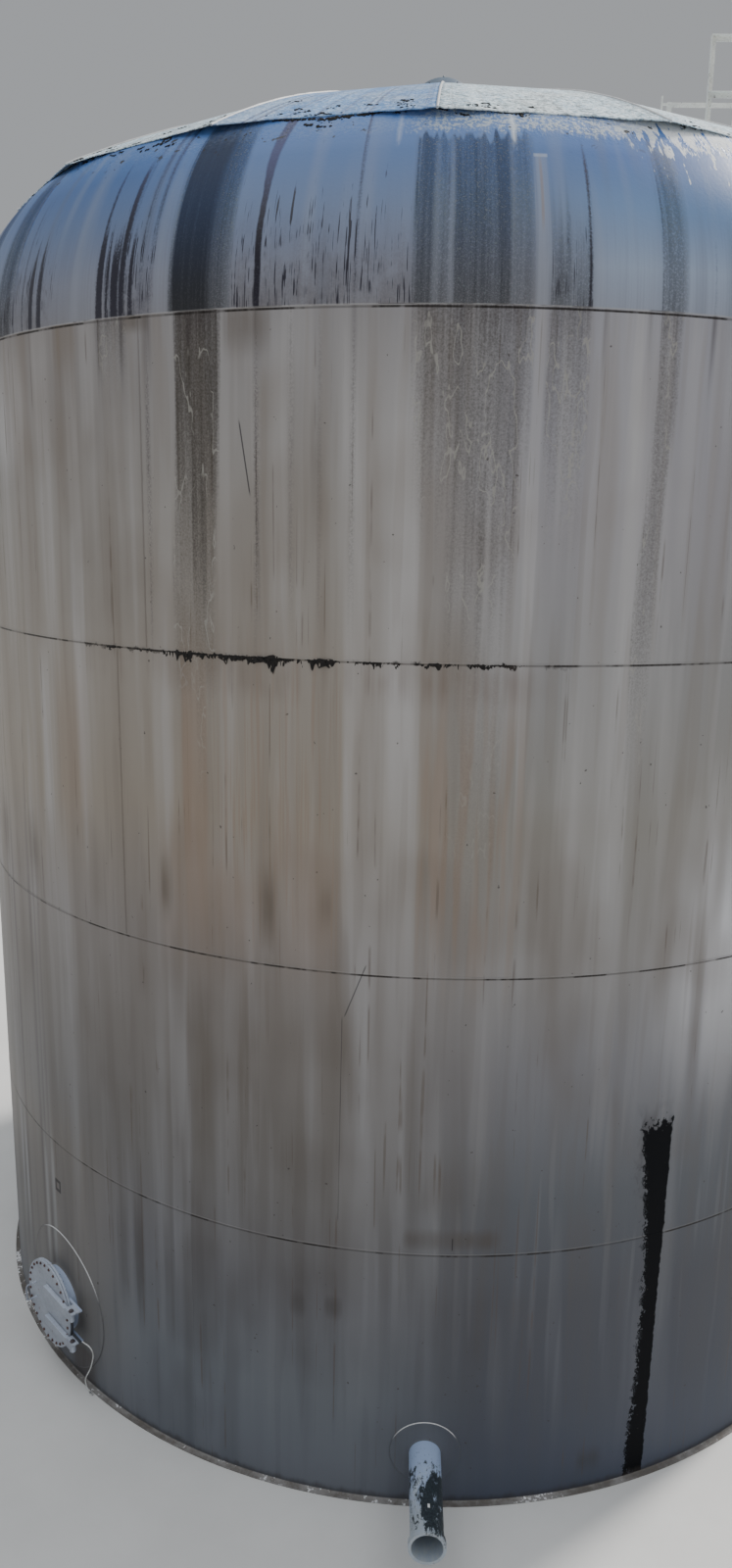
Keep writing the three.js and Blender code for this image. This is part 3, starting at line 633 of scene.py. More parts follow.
    # Single dark streaks: from the eave down, half way, and from the seam up
    high = f.lines((-46.2, 0.35, 0.7), (-28.55, 0.22, 0.6), (-26.9, 0.3, 0.6), (-25.75, 0.3, 0.7), (-7.0, 0.16, 0.8))
    middle = f.lines((-44.0, 0.2, 0.5), (-31.9, 0.22, 0.6), (-29.05, 0.24, 1.0), (-27.2, 0.15, 0.5),
                     (0.42, 0.12, 0.35), (11.9, 0.11, 0.75), (18.4, 0.1, 0.5), (-12.4, 0.1, 0.4))
    low = f.lines((-42.3, 0.3, 1.0), (-40.8, 0.3, 1.0), (-31.75, 0.4, 1.0), (-30.9, 0.25, 0.8), (-29.95, 0.4, 1.0),
                  (-28.0, 0.22, 0.8), (23.2, 0.1, 0.35))
    slip = (ends - 0.5) * 0.5
    streaks = strongest((high * (0.7 + (rise - 10.9) * 0.3).least(1.0), middle * (rise + slip).ease(11.25, 10.7),
                         low * (rise + slip).ease(10.65, 10.1)))
    streaks = (streaks * (1.0 + (hair - 0.5) * 1.2 + (speck - 0.5) * 1.3)).most(inked * 0.9)
    # The streaks turn blue towards the eave with the painted reflection of the sky
    f.over(streaks.ease(0.15, 0.7) * 0.95, f.mix(rise.ease(10.4, 11.1), colours.violet, (2, 16, 74)))
    # A single dark line, also turning blue towards the eave with the painted reflection of the sky
    wide = 0.27 + rise.ease(10.5, 11.0) * 0.22
    line = abs(azimuth + 15.35 + (patchy - 0.5) * 0.35 - rise.ease(10.9, 11.35) * 0.5) / wide
    line = line.ease(1.4, 0.7) * (1.0 + (speck - 0.5) * 0.7)
    f.over(line.least(1.0), f.mix(rise.ease(10.3, 11.0), (15, 11, 28), (0, 18, 88)))

    # Paler strips, one of them with a bright cap
    chalk = f.profile((7.5, 0.0), (7.7, 1.0), (8.4, 1.0), (8.65, 0.0)) * rise.ease(10.86, 10.84)
    pale = f.lines((0.7, 0.2, 0.3), (-0.75, 0.06, 0.8), (5.75, 0.08, 0.7), (-19.75, 0.06, 0.5),
                   (-18.45, 0.06, 0.5), (-35.0, 0.4, 0.2), (-25.1, 0.12, 0.4))
    f.over((chalk * 0.8).most(pale * rise.ease(11.1, 10.8)) * 0.5, (144, 149, 160))
    f.over(azimuth.between(7.55, 8.75, 0.05) * rise.between(10.83, 10.86, 0.006) * 0.35, (186, 192, 200))
    f.over(azimuth.near(8.05, 0.06, 0.12) * rise.between(10.3, 10.8, 0.1) * 0.5, (128, 110, 96))

    # Pale granular zone under the eave, which is painted sunlight, brightest on the right, drips from it, black dots,
    # and a painted highlight on the seam with dirt on it
    sand = f.grain(f.place, 38.0, 2.0, 0.7)
    jag = (f.runs(20.0, 0.3, 2.0, 0.7) - 0.5) * (0.3 + azimuth.ease(15.0, 20.0) * 1.5)
    # Painted sunlight: the granular strip under the eave, with a jagged lower edge
    sunlit_fringe = (rise + jag).ease(11.05, 11.13)
    sunlit_fringe = sunlit_fringe * (0.12 + azimuth.ease(-5.0, 0.0) * 0.88) * (1.0 - band.ease(0.1, 0.8) * 0.45)
    f.over(sunlit_fringe * (0.2 + sand.ease(0.46, 0.56) * 0.6), (186, 192, 194))
    f.over(sunlit_fringe * azimuth.ease(14.0, 22.0) * 0.8, (235, 236, 234))
    drips = f.lines((6.0, 0.06, 0.8), (12.2, 0.05, 0.5), (1.9, 0.05, 0.4), (-4.2, 0.05, 0.25))
    f.over(drips * (rise + jag).ease(10.9, 11.05), (215, 220, 224))
    clump = f.grain(f.place, 9.0, 3.0, 0.75)
    cold = azimuth.between(-38.0, -6.0, 2.0) * rise.ease(10.8, 11.1) * 0.03
    f.over((clump + cold).ease(0.645, 0.68) * rise.ease(10.85, 11.1), colours.crust)
    # Painted highlight along the seam, with dirt in clusters over it
    lit = rise.near(SHELL_TOP + 0.006, 0.003, 0.005)
    f.over(lit * 0.45, (160, 158, 156))
    f.over(lit * cluster.ease(0.5, 0.6) * 0.6, (52, 48, 50))
    return f.done(0.36 + growth.ease(0.1, 0.8) * 0.3 + sunlit_fringe * 0.35, sand * (0.4 + rise.ease(10.98, 11.12) * 2.6),
                  0.004, specular=0.45)


def shell_paint():
    """Beige-grey paint that darkens and turns bluer towards the ground as painted shade, with a painted sheen of the
    sky on the right and the roof's run-off down it: growth in bands on the top course, rusty wash on the third,
    washed strips, seams with painted highlights and painted shadow with dirt, and a sealant strip."""
    f = PlatePaint("Plate paint", bpy.context.scene.tank_shell, False)
    colours, rise, azimuth = bpy.context.scene.tank_colours, f.rise, f.azimuth
    fine, hair = f.runs(14.0, 0.04, 2.0), f.runs(52.0, 0.02, 1.0)
    lanes, slim = f.runs(4.2, 0.07, 1.0, 0.5), f.runs(11.0, 0.045, 1.0, 0.5, 7.0)
    speck, cloud = f.grain(f.place, 70.0, 2.0, 0.65), f.runs(1.1, 0.6, 2.0, 0.55, 5.0)
    drift, ends = f.runs(3.0, 0.7, 2.0, 0.6), f.runs(26.0, 0.0, 0.0, 0.5, 3.0)
    grime = f.runs(3.0, 0.5, 3.0, 0.75)
    f.wander = azimuth + (fine - 0.5) * 1.0 + (hair - 0.5) * 0.4
    climb = rise / 9.76
    # Painted shade: both ramps darken and turn bluer towards the ground, the right one more so
    left = f.ramp(climb, [
        (0.0, (99, 103, 111)), (0.1, (105, 109, 115)), (0.2, (102, 102, 106)), (0.3, (109, 107, 106)),
        (0.42, (116, 112, 109)), (0.51, (128, 123, 120)), (0.62, (139, 131, 121)), (0.74, (140, 134, 127)),
        (0.86, (140, 136, 132)), (1.0, (135, 133, 134))])
    right = f.ramp(climb, [
        (0.0, (71, 77, 91)), (0.1, (72, 75, 84)), (0.2, (75, 77, 84)), (0.3, (87, 90, 96)), (0.42, (115, 115, 119)),
        (0.51, (132, 130, 129)), (0.62, (130, 127, 122)), (0.74, (134, 133, 133)), (0.86, (141, 139, 143)),
        (1.0, (143, 143, 150))])
    f.start(azimuth.ease(-8.0, 10.0), left, right)
    f.over(azimuth.ease(-29.0, -42.0) * rise.ease(3.2, 2.4) * rise.ease(-0.3, 0.9) * 0.55, (124, 118, 110))
    # Painted sheen of the sky's reflection on the right, broken by the streaks
    painted_sky_sheen = azimuth.ease(19.0, 30.0) * rise.between(4.2, 6.0, 0.9)
    f.over(painted_sky_sheen * (0.4 + lanes.ease(0.4, 0.6) * 0.6), (188, 188, 192))

    # Washed paler strips, then duller ones
    washed = lanes.ease(0.5, 0.72) * 0.3 + slim.ease(0.56, 0.68) * 0.14
    # The last patch, at -52 to -44.5 degrees just under the knuckle, is a painted highlight of the sky's reflection
    pale = f.patches(
        (-7.4, -1.0, 9.3, 3.0, 0.5, 0.6, 1.0), (-37.0, -35.2, 9.4, 6.0, 0.3, 0.8, 0.8),
        (-44.0, -42.0, 7.2, 5.7, 0.4, 0.3, 1.0), (-25.6, -23.4, 4.9, 1.6, 0.2, 0.5, 1.0),
        (12.6, 17.8, 9.7, 5.0, 0.6, 0.8, 0.7), (7.6, 8.5, 9.7, 6.0, 0.15, 1.0, 0.8),
        (-19.2, -17.9, 9.4, 2.0, 0.2, 0.8, 0.5), (-52.0, -44.5, 9.6, 8.8, 0.8, 0.3, 1.4))
    chalk = f.ramp(climb, [(0.0, (120, 124, 132)), (0.35, (140, 140, 142)), (0.7, (170, 168, 168))])
    f.over((washed + pale * 0.42) * rise.ease(-0.5, 3.0), chalk)
    grey = lanes.ease(0.5, 0.3) * 0.3 + slim.ease(0.44, 0.34) * 0.16 + cloud.ease(0.5, 0.72) * 0.36
    f.over(grey, f.ramp(climb, [(0.0, (72, 76, 84)), (0.25, (84, 80, 78)), (0.7, (116, 106, 96))]))

    # Rusty wash on the third course, and hairlines
    rusty = f.patches(
        (-23.3, -20.6, 7.2, 4.9, 0.3, 0.5, 0.85), (-20.0, -7.5, 7.3, 4.9, 0.8, 0.4, hair.ease(0.5, 0.66) * 0.7),
        (-40.5, -35.8, 7.0, 5.8, 0.8, 0.5, 0.5), (-1.0, 8.5, 7.0, 4.95, 1.5, 0.6, fine.ease(0.42, 0.62) * 0.75),
        (-26.0, -8.0, 6.0, 4.9, 1.5, 0.5, cloud.ease(0.4, 0.6) * 0.6))
    f.over(rusty * (0.35 + fine * 0.8) * 0.62, colours.rust)
    hairline = f.runs(38.0, 0.012, 0.0, 0.5, 11.0).ease(0.72, 0.78) * drift.ease(0.45, 0.6)
    f.over(hairline * 0.45, (84, 72, 62))

    # Bands of growth: left, right, softness, lean, ragged end, foot, full height, strength
    slant = 1.0 - rise.ease(7.3, 9.7)
    fading = (0.3 + rise.ease(7.4, 9.7) * 0.55) * rise.ease(6.3, 7.6)
    bands = strongest([(f.wander + slant * 0.7).between(-23.3, -18.7, 0.3) * fading] + [
        (f.wander + slant * lean).between(low, high, soft)
        * (rise + (ends - 0.5) * ragged).ease(foot, full) * strength
        for low, high, soft, lean, ragged, foot, full, strength in (
            (-21.9, -20.2, 0.3, 0.0, 0.0, 6.4, 8.6, 0.8), (-2.2, 7.5, 0.4, 0.0, 1.2, 7.6, 9.7, 0.56),
            (0.9, 6.9, 0.6, 0.0, 1.6, 6.5, 9.4, 0.6), (8.8, 12.1, 0.3, 0.0, 1.0, 7.4, 9.9, 0.5),
            (18.3, 20.1, 0.3, 0.8, 0.0, 5.2, 8.6, 0.5), (-32.2, -28.6, 0.3, 0.0, 0.0, 8.9, 9.8, 0.4),
            (31.0, 35.0, 0.6, 0.0, 0.0, 8.0, 9.8, 0.5), (-22.0, -20.6, 0.4, 0.0, 0.0, 5.0, 7.4, 0.28))])
    trail = f.wander.between(1.5, 6.6, 0.8) * (rise + (ends - 0.5) * 1.6).between(5.4, 7.6, 0.8)
    bands = bands.most(trail * 0.2)
    growth = bands * (1.0 + (fine - 0.5) * 0.7 + (hair - 0.5) * 0.5) + (speck - 0.5) * 0.8 * bands.ease(0.0, 0.35)
    f.over(growth.ease(0.0, 1.15) * 0.92, (56, 51, 46))
    winding = f.grain(f.vector(f.x, f.y, f.z * 0.35), 4.4, 3.0, 0.6)
    threads = abs(winding - 0.5).ease(0.012, 0.004) * bands.ease(0.1, 0.3) * drift.ease(0.4, 0.5)
    f.over(threads * 0.6, (150, 148, 142))

    # Inky drips
    drips = f.lines((-15.4, 0.22, 0.8), (-12.4, 0.16, 0.5), (-26.4, 0.12, 0.8), (-11.4, 0.1, 0.5), (-9.7, 0.1, 0.6),
                    (-6.9, 0.12, 0.7))
    upper = f.lines((-31.9, 0.22, 0.9), (-29.1, 0.24, 0.9), (-26.2, 0.4, 0.6), (-15.4, 0.25, 0.7), (-7.0, 0.14, 0.5),
                    (23.2, 0.12, 0.9), (13.4, 0.1, 0.5), (17.3, 0.1, 0.5))
    far = f.lines((-49.3, 0.25, 0.9), (-48.2, 0.2, 0.7), (-47.2, 0.15, 0.6)) * rise.between(1.4, 5.6, 0.7)
    begin = (ends - 0.5) * 1.2
    ink = strongest((
        drips * (rise + begin).between(7.7, 9.9, 0.5) * (speck + hair * 0.6).ease(0.6, 1.0),
        upper * (rise + begin * 0.6).ease(9.1, 9.75) * (0.35 + hair),
        (rise + (hair - 0.5) * 0.5).ease(9.5, 9.74) * (0.06 + bands * 0.5) * (0.3 + hair),
        far * (0.3 + drift) * 0.7))
    f.over(ink.least(1.0) * 0.75, (56, 50, 54))

    soot = f.patches(
        (-26.2, -25.0, 5.6, 5.2, 0.5, 0.2, 1.0), (-15.3, -13.8, 5.6, 5.1, 0.5, 0.2, 1.0),
        (-9.6, -8.2, 5.55, 5.3, 0.6, 0.15, 0.7), (-48.5, -46.0, 5.6, 5.1, 0.8, 0.2, 0.8),
        (-10.7, -9.6, 9.0, 8.4, 0.3, 0.3, 0.5), (-23.0, -20.4, 4.8, 1.3, 0.5, 0.9, 0.6),
        (-17.6, -14.2, 4.8, 2.6, 0.5, 0.7, fine.ease(0.4, 0.6) * 0.6), (-33.6, -32.2, 2.3, 1.3, 0.4, 0.4, 0.7),
        (-31.2, -29.8, 2.3, 1.3, 0.4, 0.4, 0.9), (-27.2, -25.9, 2.3, 1.2, 0.4, 0.4, 0.7),
        (-12.3, -10.6, 1.98, 1.72, 0.5, 0.12, 1.0), (-8.7, -6.9, 1.98, 1.75, 0.5, 0.1, 0.8),
        (-1.0, 8.0, 2.67, 2.50, 1.0, 0.08, 1.1), (0.0, 7.0, 3.6, 2.6, 1.5, 0.6, 0.45),
        (0.5, 8.0, 2.2, 1.3, 1.5, 0.4, 0.4), (-47.6, -46.4, 1.9, 0.8, 0.4, 0.3, 0.8),
        (17.8, 20.2, 0.38, 0.22, 0.6, 0.1, 0.8), (-37.5, -30.0, 4.0, 2.6, 2.0, 0.8, 0.35),
        (-18.3, -14.4, 9.8, 9.5, 0.4, 0.12, 0.9), (-29.0, -26.0, 9.8, 9.66, 0.5, 0.06, 1.0),
        (-39.0, -26.5, 9.6, 7.4, 2.0, 0.4, 0.36), (-17.5, 8.0, 4.6, 0.9, 2.5, 0.7, 0.3))
    soot = soot * (0.35 + drift * 0.9) * (0.5 + fine)
    f.over(soot.least(1.0) * 0.6, f.mix(rise.ease(1.0, 4.0), (58, 56, 56), (84, 74, 64)))

    # About the manway: washed above it, stained below it
    above = f.lines((-48.4, 0.35, 0.8), (-46.6, 0.4, 0.7)) * rise.between(1.1, 2.3, 0.4) * (0.5 + drift)
    f.over(above.least(1.0) * 0.5, (168, 170, 172))
    f.over(f.true_azimuth.near(-41.0, 1.2, 2.0) * rise.near(0.2, 0.12, 0.15) * 0.55, (58, 48, 42))

    # Scratches, and a small drawn square at the upper left of the lowest course
    square = (abs(f.true_azimuth + 45.45) / 0.62).most(abs(rise - 1.965) / 0.062)
    marks = strongest((
        (f.true_azimuth + (9.0 - rise) * -1.9).near(-17.0, 0.03, 0.06) * rise.between(8.5, 9.0, 0.03),
        (f.true_azimuth - (rise - 2.7) * 0.09).near(-7.45, 0.02, 0.04) * rise.between(2.7, 4.5, 0.03) * drift,
        (f.true_azimuth - (rise - 4.55) * 4.4).near(-6.9, 0.03, 0.06) * rise.between(4.52, 4.95, 0.02) * 0.8,
        f.true_azimuth.near(3.7, 0.03, 0.05) * rise.between(2.49, 2.6, 0.01),
        square.near(0.8, 0.2, 0.1) * 1.2))
    f.over(marks.least(1.0) * 0.8, (40, 38, 42))

    # Level seams: a painted highlight above a line of painted shadow under the bead, darkened further by dirt;
    # upright seams; black crust under the third
    lit = strongest(rise.near(height + 0.005, 0.002, 0.003) for height in SEAM_HEIGHTS)
    under = strongest(rise.near(height - 0.010, 0.005, 0.005) for height in SEAM_HEIGHTS)
    f.over(lit * 0.2, (150, 146, 142))
    f.over(under * (0.4 + grime.ease(0.46, 0.54) * (0.6 + hair * 0.6) * 0.55), (30, 26, 24))
    for number, start_azimuth in UPPER_COURSES.items():
        for side in (0.0, 180.0):
            place = (start_azimuth + side + 180.0) % 360.0 - 180.0
            line = f.true_azimuth.near(place, 0.03, 0.07) * rise.between(*SEAM_HEIGHTS[number - 2:number], 0.005)
            f.over(line * 0.35, (84, 74, 68))
    crust_zone = azimuth.between(-24.0, 10.0, 4.0).most(azimuth.between(-36.0, -24.0, 1.0) * 0.6)
    hang = (grime - 0.5) * 0.12 + (fine - 0.5) * 0.07 + (speck - 0.5) * 0.05
    f.over((rise + hang).between(7.3, 7.322, 0.005) * crust_zone * grime.ease(0.46, 0.53), colours.crust)
    f.over(rise.between(7.05, 7.3, 0.12) * crust_zone * (fine + drift - 0.5).ease(0.3, 0.9) * 0.35, (92, 72, 62))

    # The ragged strip of old sealant, with scratches on its left and a smear at its top
    inset = f.number("ShaderNodeValToRGB", {"stops": [
        (0.0, 0.62), (0.1, 0.66), (0.3, 0.86), (0.55, 0.86), (0.7, 0.74), (0.85, 0.52), (1.0, 0.2)]}, {0: rise / 3.6})
    ragged = f.runs(16.0, 0.8, 3.0, 0.85) - 0.5
    edge_left = f.true_azimuth + ragged * 3.4 - 21.6 - inset * 2.6
    edge_right = f.true_azimuth + ragged * 0.6 - 25.9 + (3.5 - rise) * 0.1
    inside = edge_right.ease(0.05, -0.05)
    strip = edge_left.ease(-0.05, 0.05) * inside * (rise + ragged * 0.5).between(0.0, 3.5, 0.02)
    smear = edge_left.ease(-1.3, -0.1) * inside * (rise + (grime - 0.5) * 0.6).between(2.4, 3.62, 0.12)
    f.over(smear * grime.ease(0.4, 0.56) * 0.7, (72, 72, 76))
    scratch = ragged.ease(0.06, 0.11) * edge_left.ease(1.0, 0.1)
    f.over(strip * (1.0 - scratch * 0.7), colours.tar)

    # Mud at the foot, and dark spots, more of them about the outlet
    f.over((rise + (fine - 0.5) * 0.1).ease(0.09, 0.02) * 0.55, (60, 56, 54))
    about = f.true_azimuth.near(1.7, 4.0, 3.0) * rise.between(0.25, 1.5, 0.3)
    f.over((f.grain(f.place, 24.0, 1.0, 0.5) + about * 0.045).ease(0.785, 0.8) * 0.7, (60, 54, 52))
    return f.done(0.5 + growth.ease(0.2, 0.9) * 0.3 + strip * 0.3, speck, 0.002, 0.4, specular=0.15)


def crown_paint():
    """Chalky pale paint with a granular growth, radial streaks, beige lichen and black clumps. One
    plate at the front is bluer, a painted reflection of the sky, and smoother than the others."""
    f = PlatePaint("Roof paint", bpy.context.scene.tank_shell, True)
    level = f.vector(f.x, f.y, 0.0)
    lanes, threads = f.grain(level, 2.6, 2.0), f.grain(level, 14.0, 3.0)
    sand, pebble = f.grain(f.place, 30.0, 2.0, 0.75), f.grain(f.place, 13.0, 2.0, 0.75)
    # Painted reflection of the sky on the front plate, which also quiets its speckles
    sky_reflection_plate = f.true_azimuth.between(-23.4, -0.9, 0.15)
    quiet = 1.0 - sky_reflection_plate * 0.65
    f.start(lanes.ease(0.38, 0.62), (156, 184, 200), (190, 214, 228))
    f.over(sky_reflection_plate, f.mix(lanes.ease(0.4, 0.6), (84, 132, 186), (120, 160, 206)))
    f.over(f.grain(f.place, 1.6, 2.0).ease(0.42, 0.65) * (0.4 - sky_reflection_plate * 0.15), (188, 186, 172))
    f.over(threads.ease(0.54, 0.66) * (0.45 + sky_reflection_plate * 0.35), f.mix(sky_reflection_plate, (128, 134, 140), (70, 80, 122)))
    f.over(pebble.ease(0.52, 0.6) * quiet * 0.5, (228, 236, 238))
    f.over(pebble.ease(0.46, 0.38) * quiet * 0.6, (122, 128, 130))
    f.over(sand.ease(0.52, 0.58) * quiet * 0.6, (240, 245, 248))
    f.over(sand.ease(0.46, 0.38) * quiet * 0.7, (96, 100, 102))
    f.over(f.grain(f.place, 7.0, 3.0, 0.75).ease(0.71, 0.74), bpy.context.scene.tank_colours.crust)
    return f.done(0.75 + (sand - 0.5) * 0.2, sand, 0.012, 0.9, specular=0.3)


def weld_paint(name, low, high, azimuth=0.0, left=-9.0, wall_tint=(84, 84, 86)):
    """Weld bead, pale above a height and to the right of a line, which on the pads' beads is a painted highlight of
    their upper arc, and as dirty as the wall elsewhere.
    """
    f = Finish(name)
    across = f.x * math.cos(math.radians(azimuth)) + f.y * math.sin(math.radians(azimuth))
    ripple, patch = f.grain(f.place, 90.0, 2.0), f.grain(f.place, 3.0, 4.0, 0.65)
    # On the pads' beads this pale arc is a painted highlight
    bright = (f.z + (patch - 0.5) * 0.3).ease(low, high) * across.ease(left - 0.15, left + 0.15)
    f.start(bright, wall_tint, (200, 200, 200))
    f.over(patch.ease(0.55, 0.75) * 0.4, (100, 96, 94))
    f.over(ripple.ease(0.6, 0.75) * 0.5, (74, 66, 60))
    return f.done(0.55 + (ripple - 0.5) * 0.2, ripple, 0.002)


def fitting_paint(name, coat, chipped=0.0, on_manway=False):
    """White paint, cool in the shade, with dust on it, small chips to dark steel and a little rust. On
    the manway, dirt and painted shade lie along the arms, painted shadow fills the neck between the lugs, uneven
    painted shade dulls the faces that look outward, and the neck takes a painted bluish shade."""
    f = Finish(name)
    cloud, chip = f.grain(f.place, 5.0, 4.0, 0.6), f.grain(f.place, 34.0, 4.0, 0.7)
    f.start(cloud.ease(0.35, 0.7) * 0.6, coat, f.mix(0.35, coat, (120, 122, 126)))
    f.over(f.grain(f.place, 70.0, 3.0).ease(0.5, 0.7) * 0.25, (96, 96, 98))
    if on_manway:
        manway, radius = bpy.context.scene.tank_manway, bpy.context.scene.tank_shell.radius
        tilt = math.radians(manway.azimuth)
        across = f.x * math.cos(tilt) + f.y * math.sin(tilt)
        out = f.x * math.sin(tilt) - f.y * math.cos(tilt) - radius
        up = abs(f.z - manway.height)
        # Dirt and painted shade on the cover along the arms
        dirt_and_shade_by_arms = up.near(0.165, 0.042, 0.03) * across.ease(-0.05, -0.01) * out.between(0.16, 0.17, 0.002)
        f.over(dirt_and_shade_by_arms * 0.55, (58, 58, 62))
        # Painted shadow on the neck between the lugs
        f.over(across.ease(0.24, 0.31) * up.ease(0.19, 0.15) * out.ease(0.155, 0.150) * 0.9, (30, 30, 34))
        # Painted bluish shade on the neck
        f.over(out.ease(0.124, 0.118) * 0.6, (160, 176, 206))
        # Painted shade on the faces that look outward, made uneven by the cloud noise
        front = out.between(0.1675, 0.1695, 0.0004).most(out.ease(0.2095, 0.2100)) * (0.4 + cloud * 0.5)
        f.over(front * 0.7, (116, 120, 128))
    rusted = (f.grain(f.place, 13.0, 4.0, 0.7) + (chip - 0.5) * 0.4).ease(0.66 - chipped, 0.74 - chipped)
    f.over(rusted * 0.75, (122, 86, 62))
    gone = (chip + (cloud - 0.5) * 0.3).ease(0.69 - chipped, 0.72 - chipped)
    f.over(gone * 0.8, bpy.context.scene.tank_colours.bare)
    return f.done(0.38 + cloud * 0.2 + rusted * 0.3, cloud, 0.002)


def flaking_paint():
    """The outlet's white paint, whole near the shell and flaked off in long dark tongues on top and to
    the right, further out."""
    scene, f = bpy.context.scene, Finish("Flaking paint")
    outlet, tilt = scene.tank_outlet, math.radians(scene.tank_outlet.azimuth)
    across = f.x * math.cos(tilt) + f.y * math.sin(tilt)
    out = f.y * -math.cos(tilt) + f.x * math.sin(tilt) - scene.tank_shell.radius
    along = f.vector(across, f.y * 0.45, f.z)
    flakes = (f.grain(along, 30.0, 6.0, 0.8, 0.6) - 0.5) * 7.0
    tufts = (f.grain(along, 11.0, 4.0, 0.7, 0.8) - 0.5) * 5.0
    chips = f.grain(f.place, 60.0, 3.0, 0.7)
    heart = (across + tufts * 0.03).ease(-0.08, 0.02) * out.ease(0.28, 0.44)
    sides = abs(across).ease(0.05, 0.11) * out.between(0.2, 0.44, 0.06)
    above = f.z.ease(outlet.height - 0.05, outlet.height + 0.04)
    crest = across.near(0.01, 0.02, 0.05) * out.between(0.26, 0.42, 0.06)
    edges = out.ease(0.14, 0.28) * out.ease(1.02, 0.82)
    round_it = across * across + (f.z - outlet.height) * (f.z - outlet.height)
    outside = round_it.ease((outlet.bore + 0.002) ** 2, (outlet.bore + 0.004) ** 2)
    bare = flakes * 0.7 + tufts * 0.4 + heart * above + sides * 0.4
    bare = bare + edges * 0.36 - (1.0 - edges) * 0.8 - crest * 0.5
    gone = bare.ease(0.62, 0.72) * outside
    fleck = ((chips - 0.5) * 6.0 + flakes * 0.6).ease(0.95, 1.1) * out.ease(0.05, 0.2) * outside
    f.start(flakes.ease(-0.6, 0.6) * out.ease(0.2, 0.5), (150, 168, 198), (176, 186, 198))
    f.over(out.ease(0.45, 0.8) * 0.6, (150, 154, 152))
    f.over(gone.most(fleck), f.mix(chips.ease(0.4, 0.6), (20, 29, 37), (42, 52, 58)))
    f.over(bare.near(0.6, 0.08, 0.1) * 0.35 * outside, (120, 126, 128))
    f.over(abs(across - 0.015).most(abs(out - 0.68) * 0.5).ease(0.011, 0.007) * above, (214, 216, 216))
    return f.done(0.4 + gone * 0.15, chips, 0.001, 0.7)


def chime_paint():
    """Dusty paint of the bottom plate's ledge, with whitish flaked patches and dark damp ones."""
    f = Finish("Chime paint")
    patch, fleck = f.grain(f.place, 2.2, 6.0, 0.7), f.grain(f.place, 26.0, 5.0, 0.75)
    f.start(patch.ease(0.4, 0.6), (92, 88, 84), (128, 126, 124))
    f.over(fleck.ease(0.5, 0.6) * 0.5, (92, 84, 76))
    f.over((patch + (fleck - 0.5) * 0.8 + f.x.ease(-3.6, -4.3) * 0.1).ease(0.63, 0.66), (214, 214, 216))
    return f.done(0.85, fleck, 0.004, 0.6)


def steel_finish(name, dark, light, rust_share, scale=24.0, metallic=0.5):
    """Galvanised or bare steel with blotches and rust."""
    f = Finish(name)
    blotch, speck = f.grain(f.place, scale, 4.0, 0.65), f.grain(f.place, scale * 6, 3.0)
    f.start(blotch.ease(0.35, 0.65), dark, light)
    rust = (blotch * 0.5 + speck * 0.5).ease(0.62 - rust_share, 0.7 - rust_share)
    f.over(rust * 0.8, (98, 62, 42))
    return f.done(0.4 + blotch * 0.25 + rust * 0.25, speck, 0.0008, metallic=metallic)


def plain_finish(name, first, second, scale, roughness, bump=0.001):
    """Two close tones of one material, blended by noise, with a matching fine bump."""
    f = Finish(name)
    fine = f.grain(f.place, scale * 8, 3.0)
    f.start(f.grain(f.place, scale, 5.0, 0.6).ease(0.3, 0.7), first, second)
    return f.done(roughness + (fine - 0.5) * 0.2, fine, bump)


@cache
def paint(name):
    """A finish by name, made the first time that it is asked for."""
    scene = bpy.context.scene
    colours = scene.tank_colours
    maker, *values = {
        "shell": (shell_paint,),
        "knuckle": (knuckle_paint,),
        "crown": (crown_paint,),
        "crown_weld": (weld_paint, "Roof weld", 0.0, 1.0),
        "manway_weld": (weld_paint, "Manway pad weld", 1.0, 1.24, scene.tank_manway.azimuth, -0.3),
        "outlet_weld": (weld_paint, "Outlet pad weld", 0.63, 0.73, scene.tank_outlet.azimuth, -0.6, (70, 74, 82)),
        "crust": (plain_finish, "Black crust", (8, 8, 8), (34, 30, 28), 40.0, 0.95, 0.004),
        "fitting": (fitting_paint, "Manway paint", colours.fitting, 0.0, True),
        "pipe": (flaking_paint,),
        "rail": (fitting_paint, "Rail paint", colours.rail, 0.02),
        "vent": (fitting_paint, "Vent paint", (72, 92, 112), 0.01),
        "bottom": (chime_paint,),
        "bolt": (steel_finish, "Bolt steel", (66, 60, 62), (112, 108, 112), 0.08),
        "rusty_bolt": (steel_finish, "Rusty bolt steel", (66, 44, 40), (104, 76, 68), 0.08, 60.0, 0.1),
        # Dark discs of painted shade standing for the bolt holes
        "hole": (plain_finish, "Bolt hole", (16, 16, 18), (30, 28, 28), 30.0, 0.9),
        "gasket": (plain_finish, "Gasket", (44, 42, 40), (70, 64, 58), 30.0, 0.85),
        "cord": (plain_finish, "Cord", (224, 226, 226), (184, 184, 180), 50.0, 0.75),
        "ferrule": (steel_finish, "Cord fitting", (120, 122, 124), (176, 176, 174), 0.02),
        "floor": (plain_finish, "Studio floor", colours.floor, (198, 197, 195), 0.6, 0.9, 0.0005),
    }[name]
    return maker(*values)


def wall(sizes, azimuths, heights):
    """Outer face of a shell plate: a grid of azimuths and heights at the shell's radius, less slow
    noise by which the plates above the lowest course dip inward."""
    a, z = np.meshgrid(azimuths, heights, indexing="ij")
    fade = np.clip((z - 2.5) / 0.8, 0, 1) * np.clip((9.7 - z) / 0.5, 0, 1)
    points = around(a, sizes.radius - sizes.waviness * rough(a / 6.0, z / 0.7, 60, 5) * fade, z)
    return [(points.reshape(-1, 3), [weave(len(azimuths), len(heights))])]


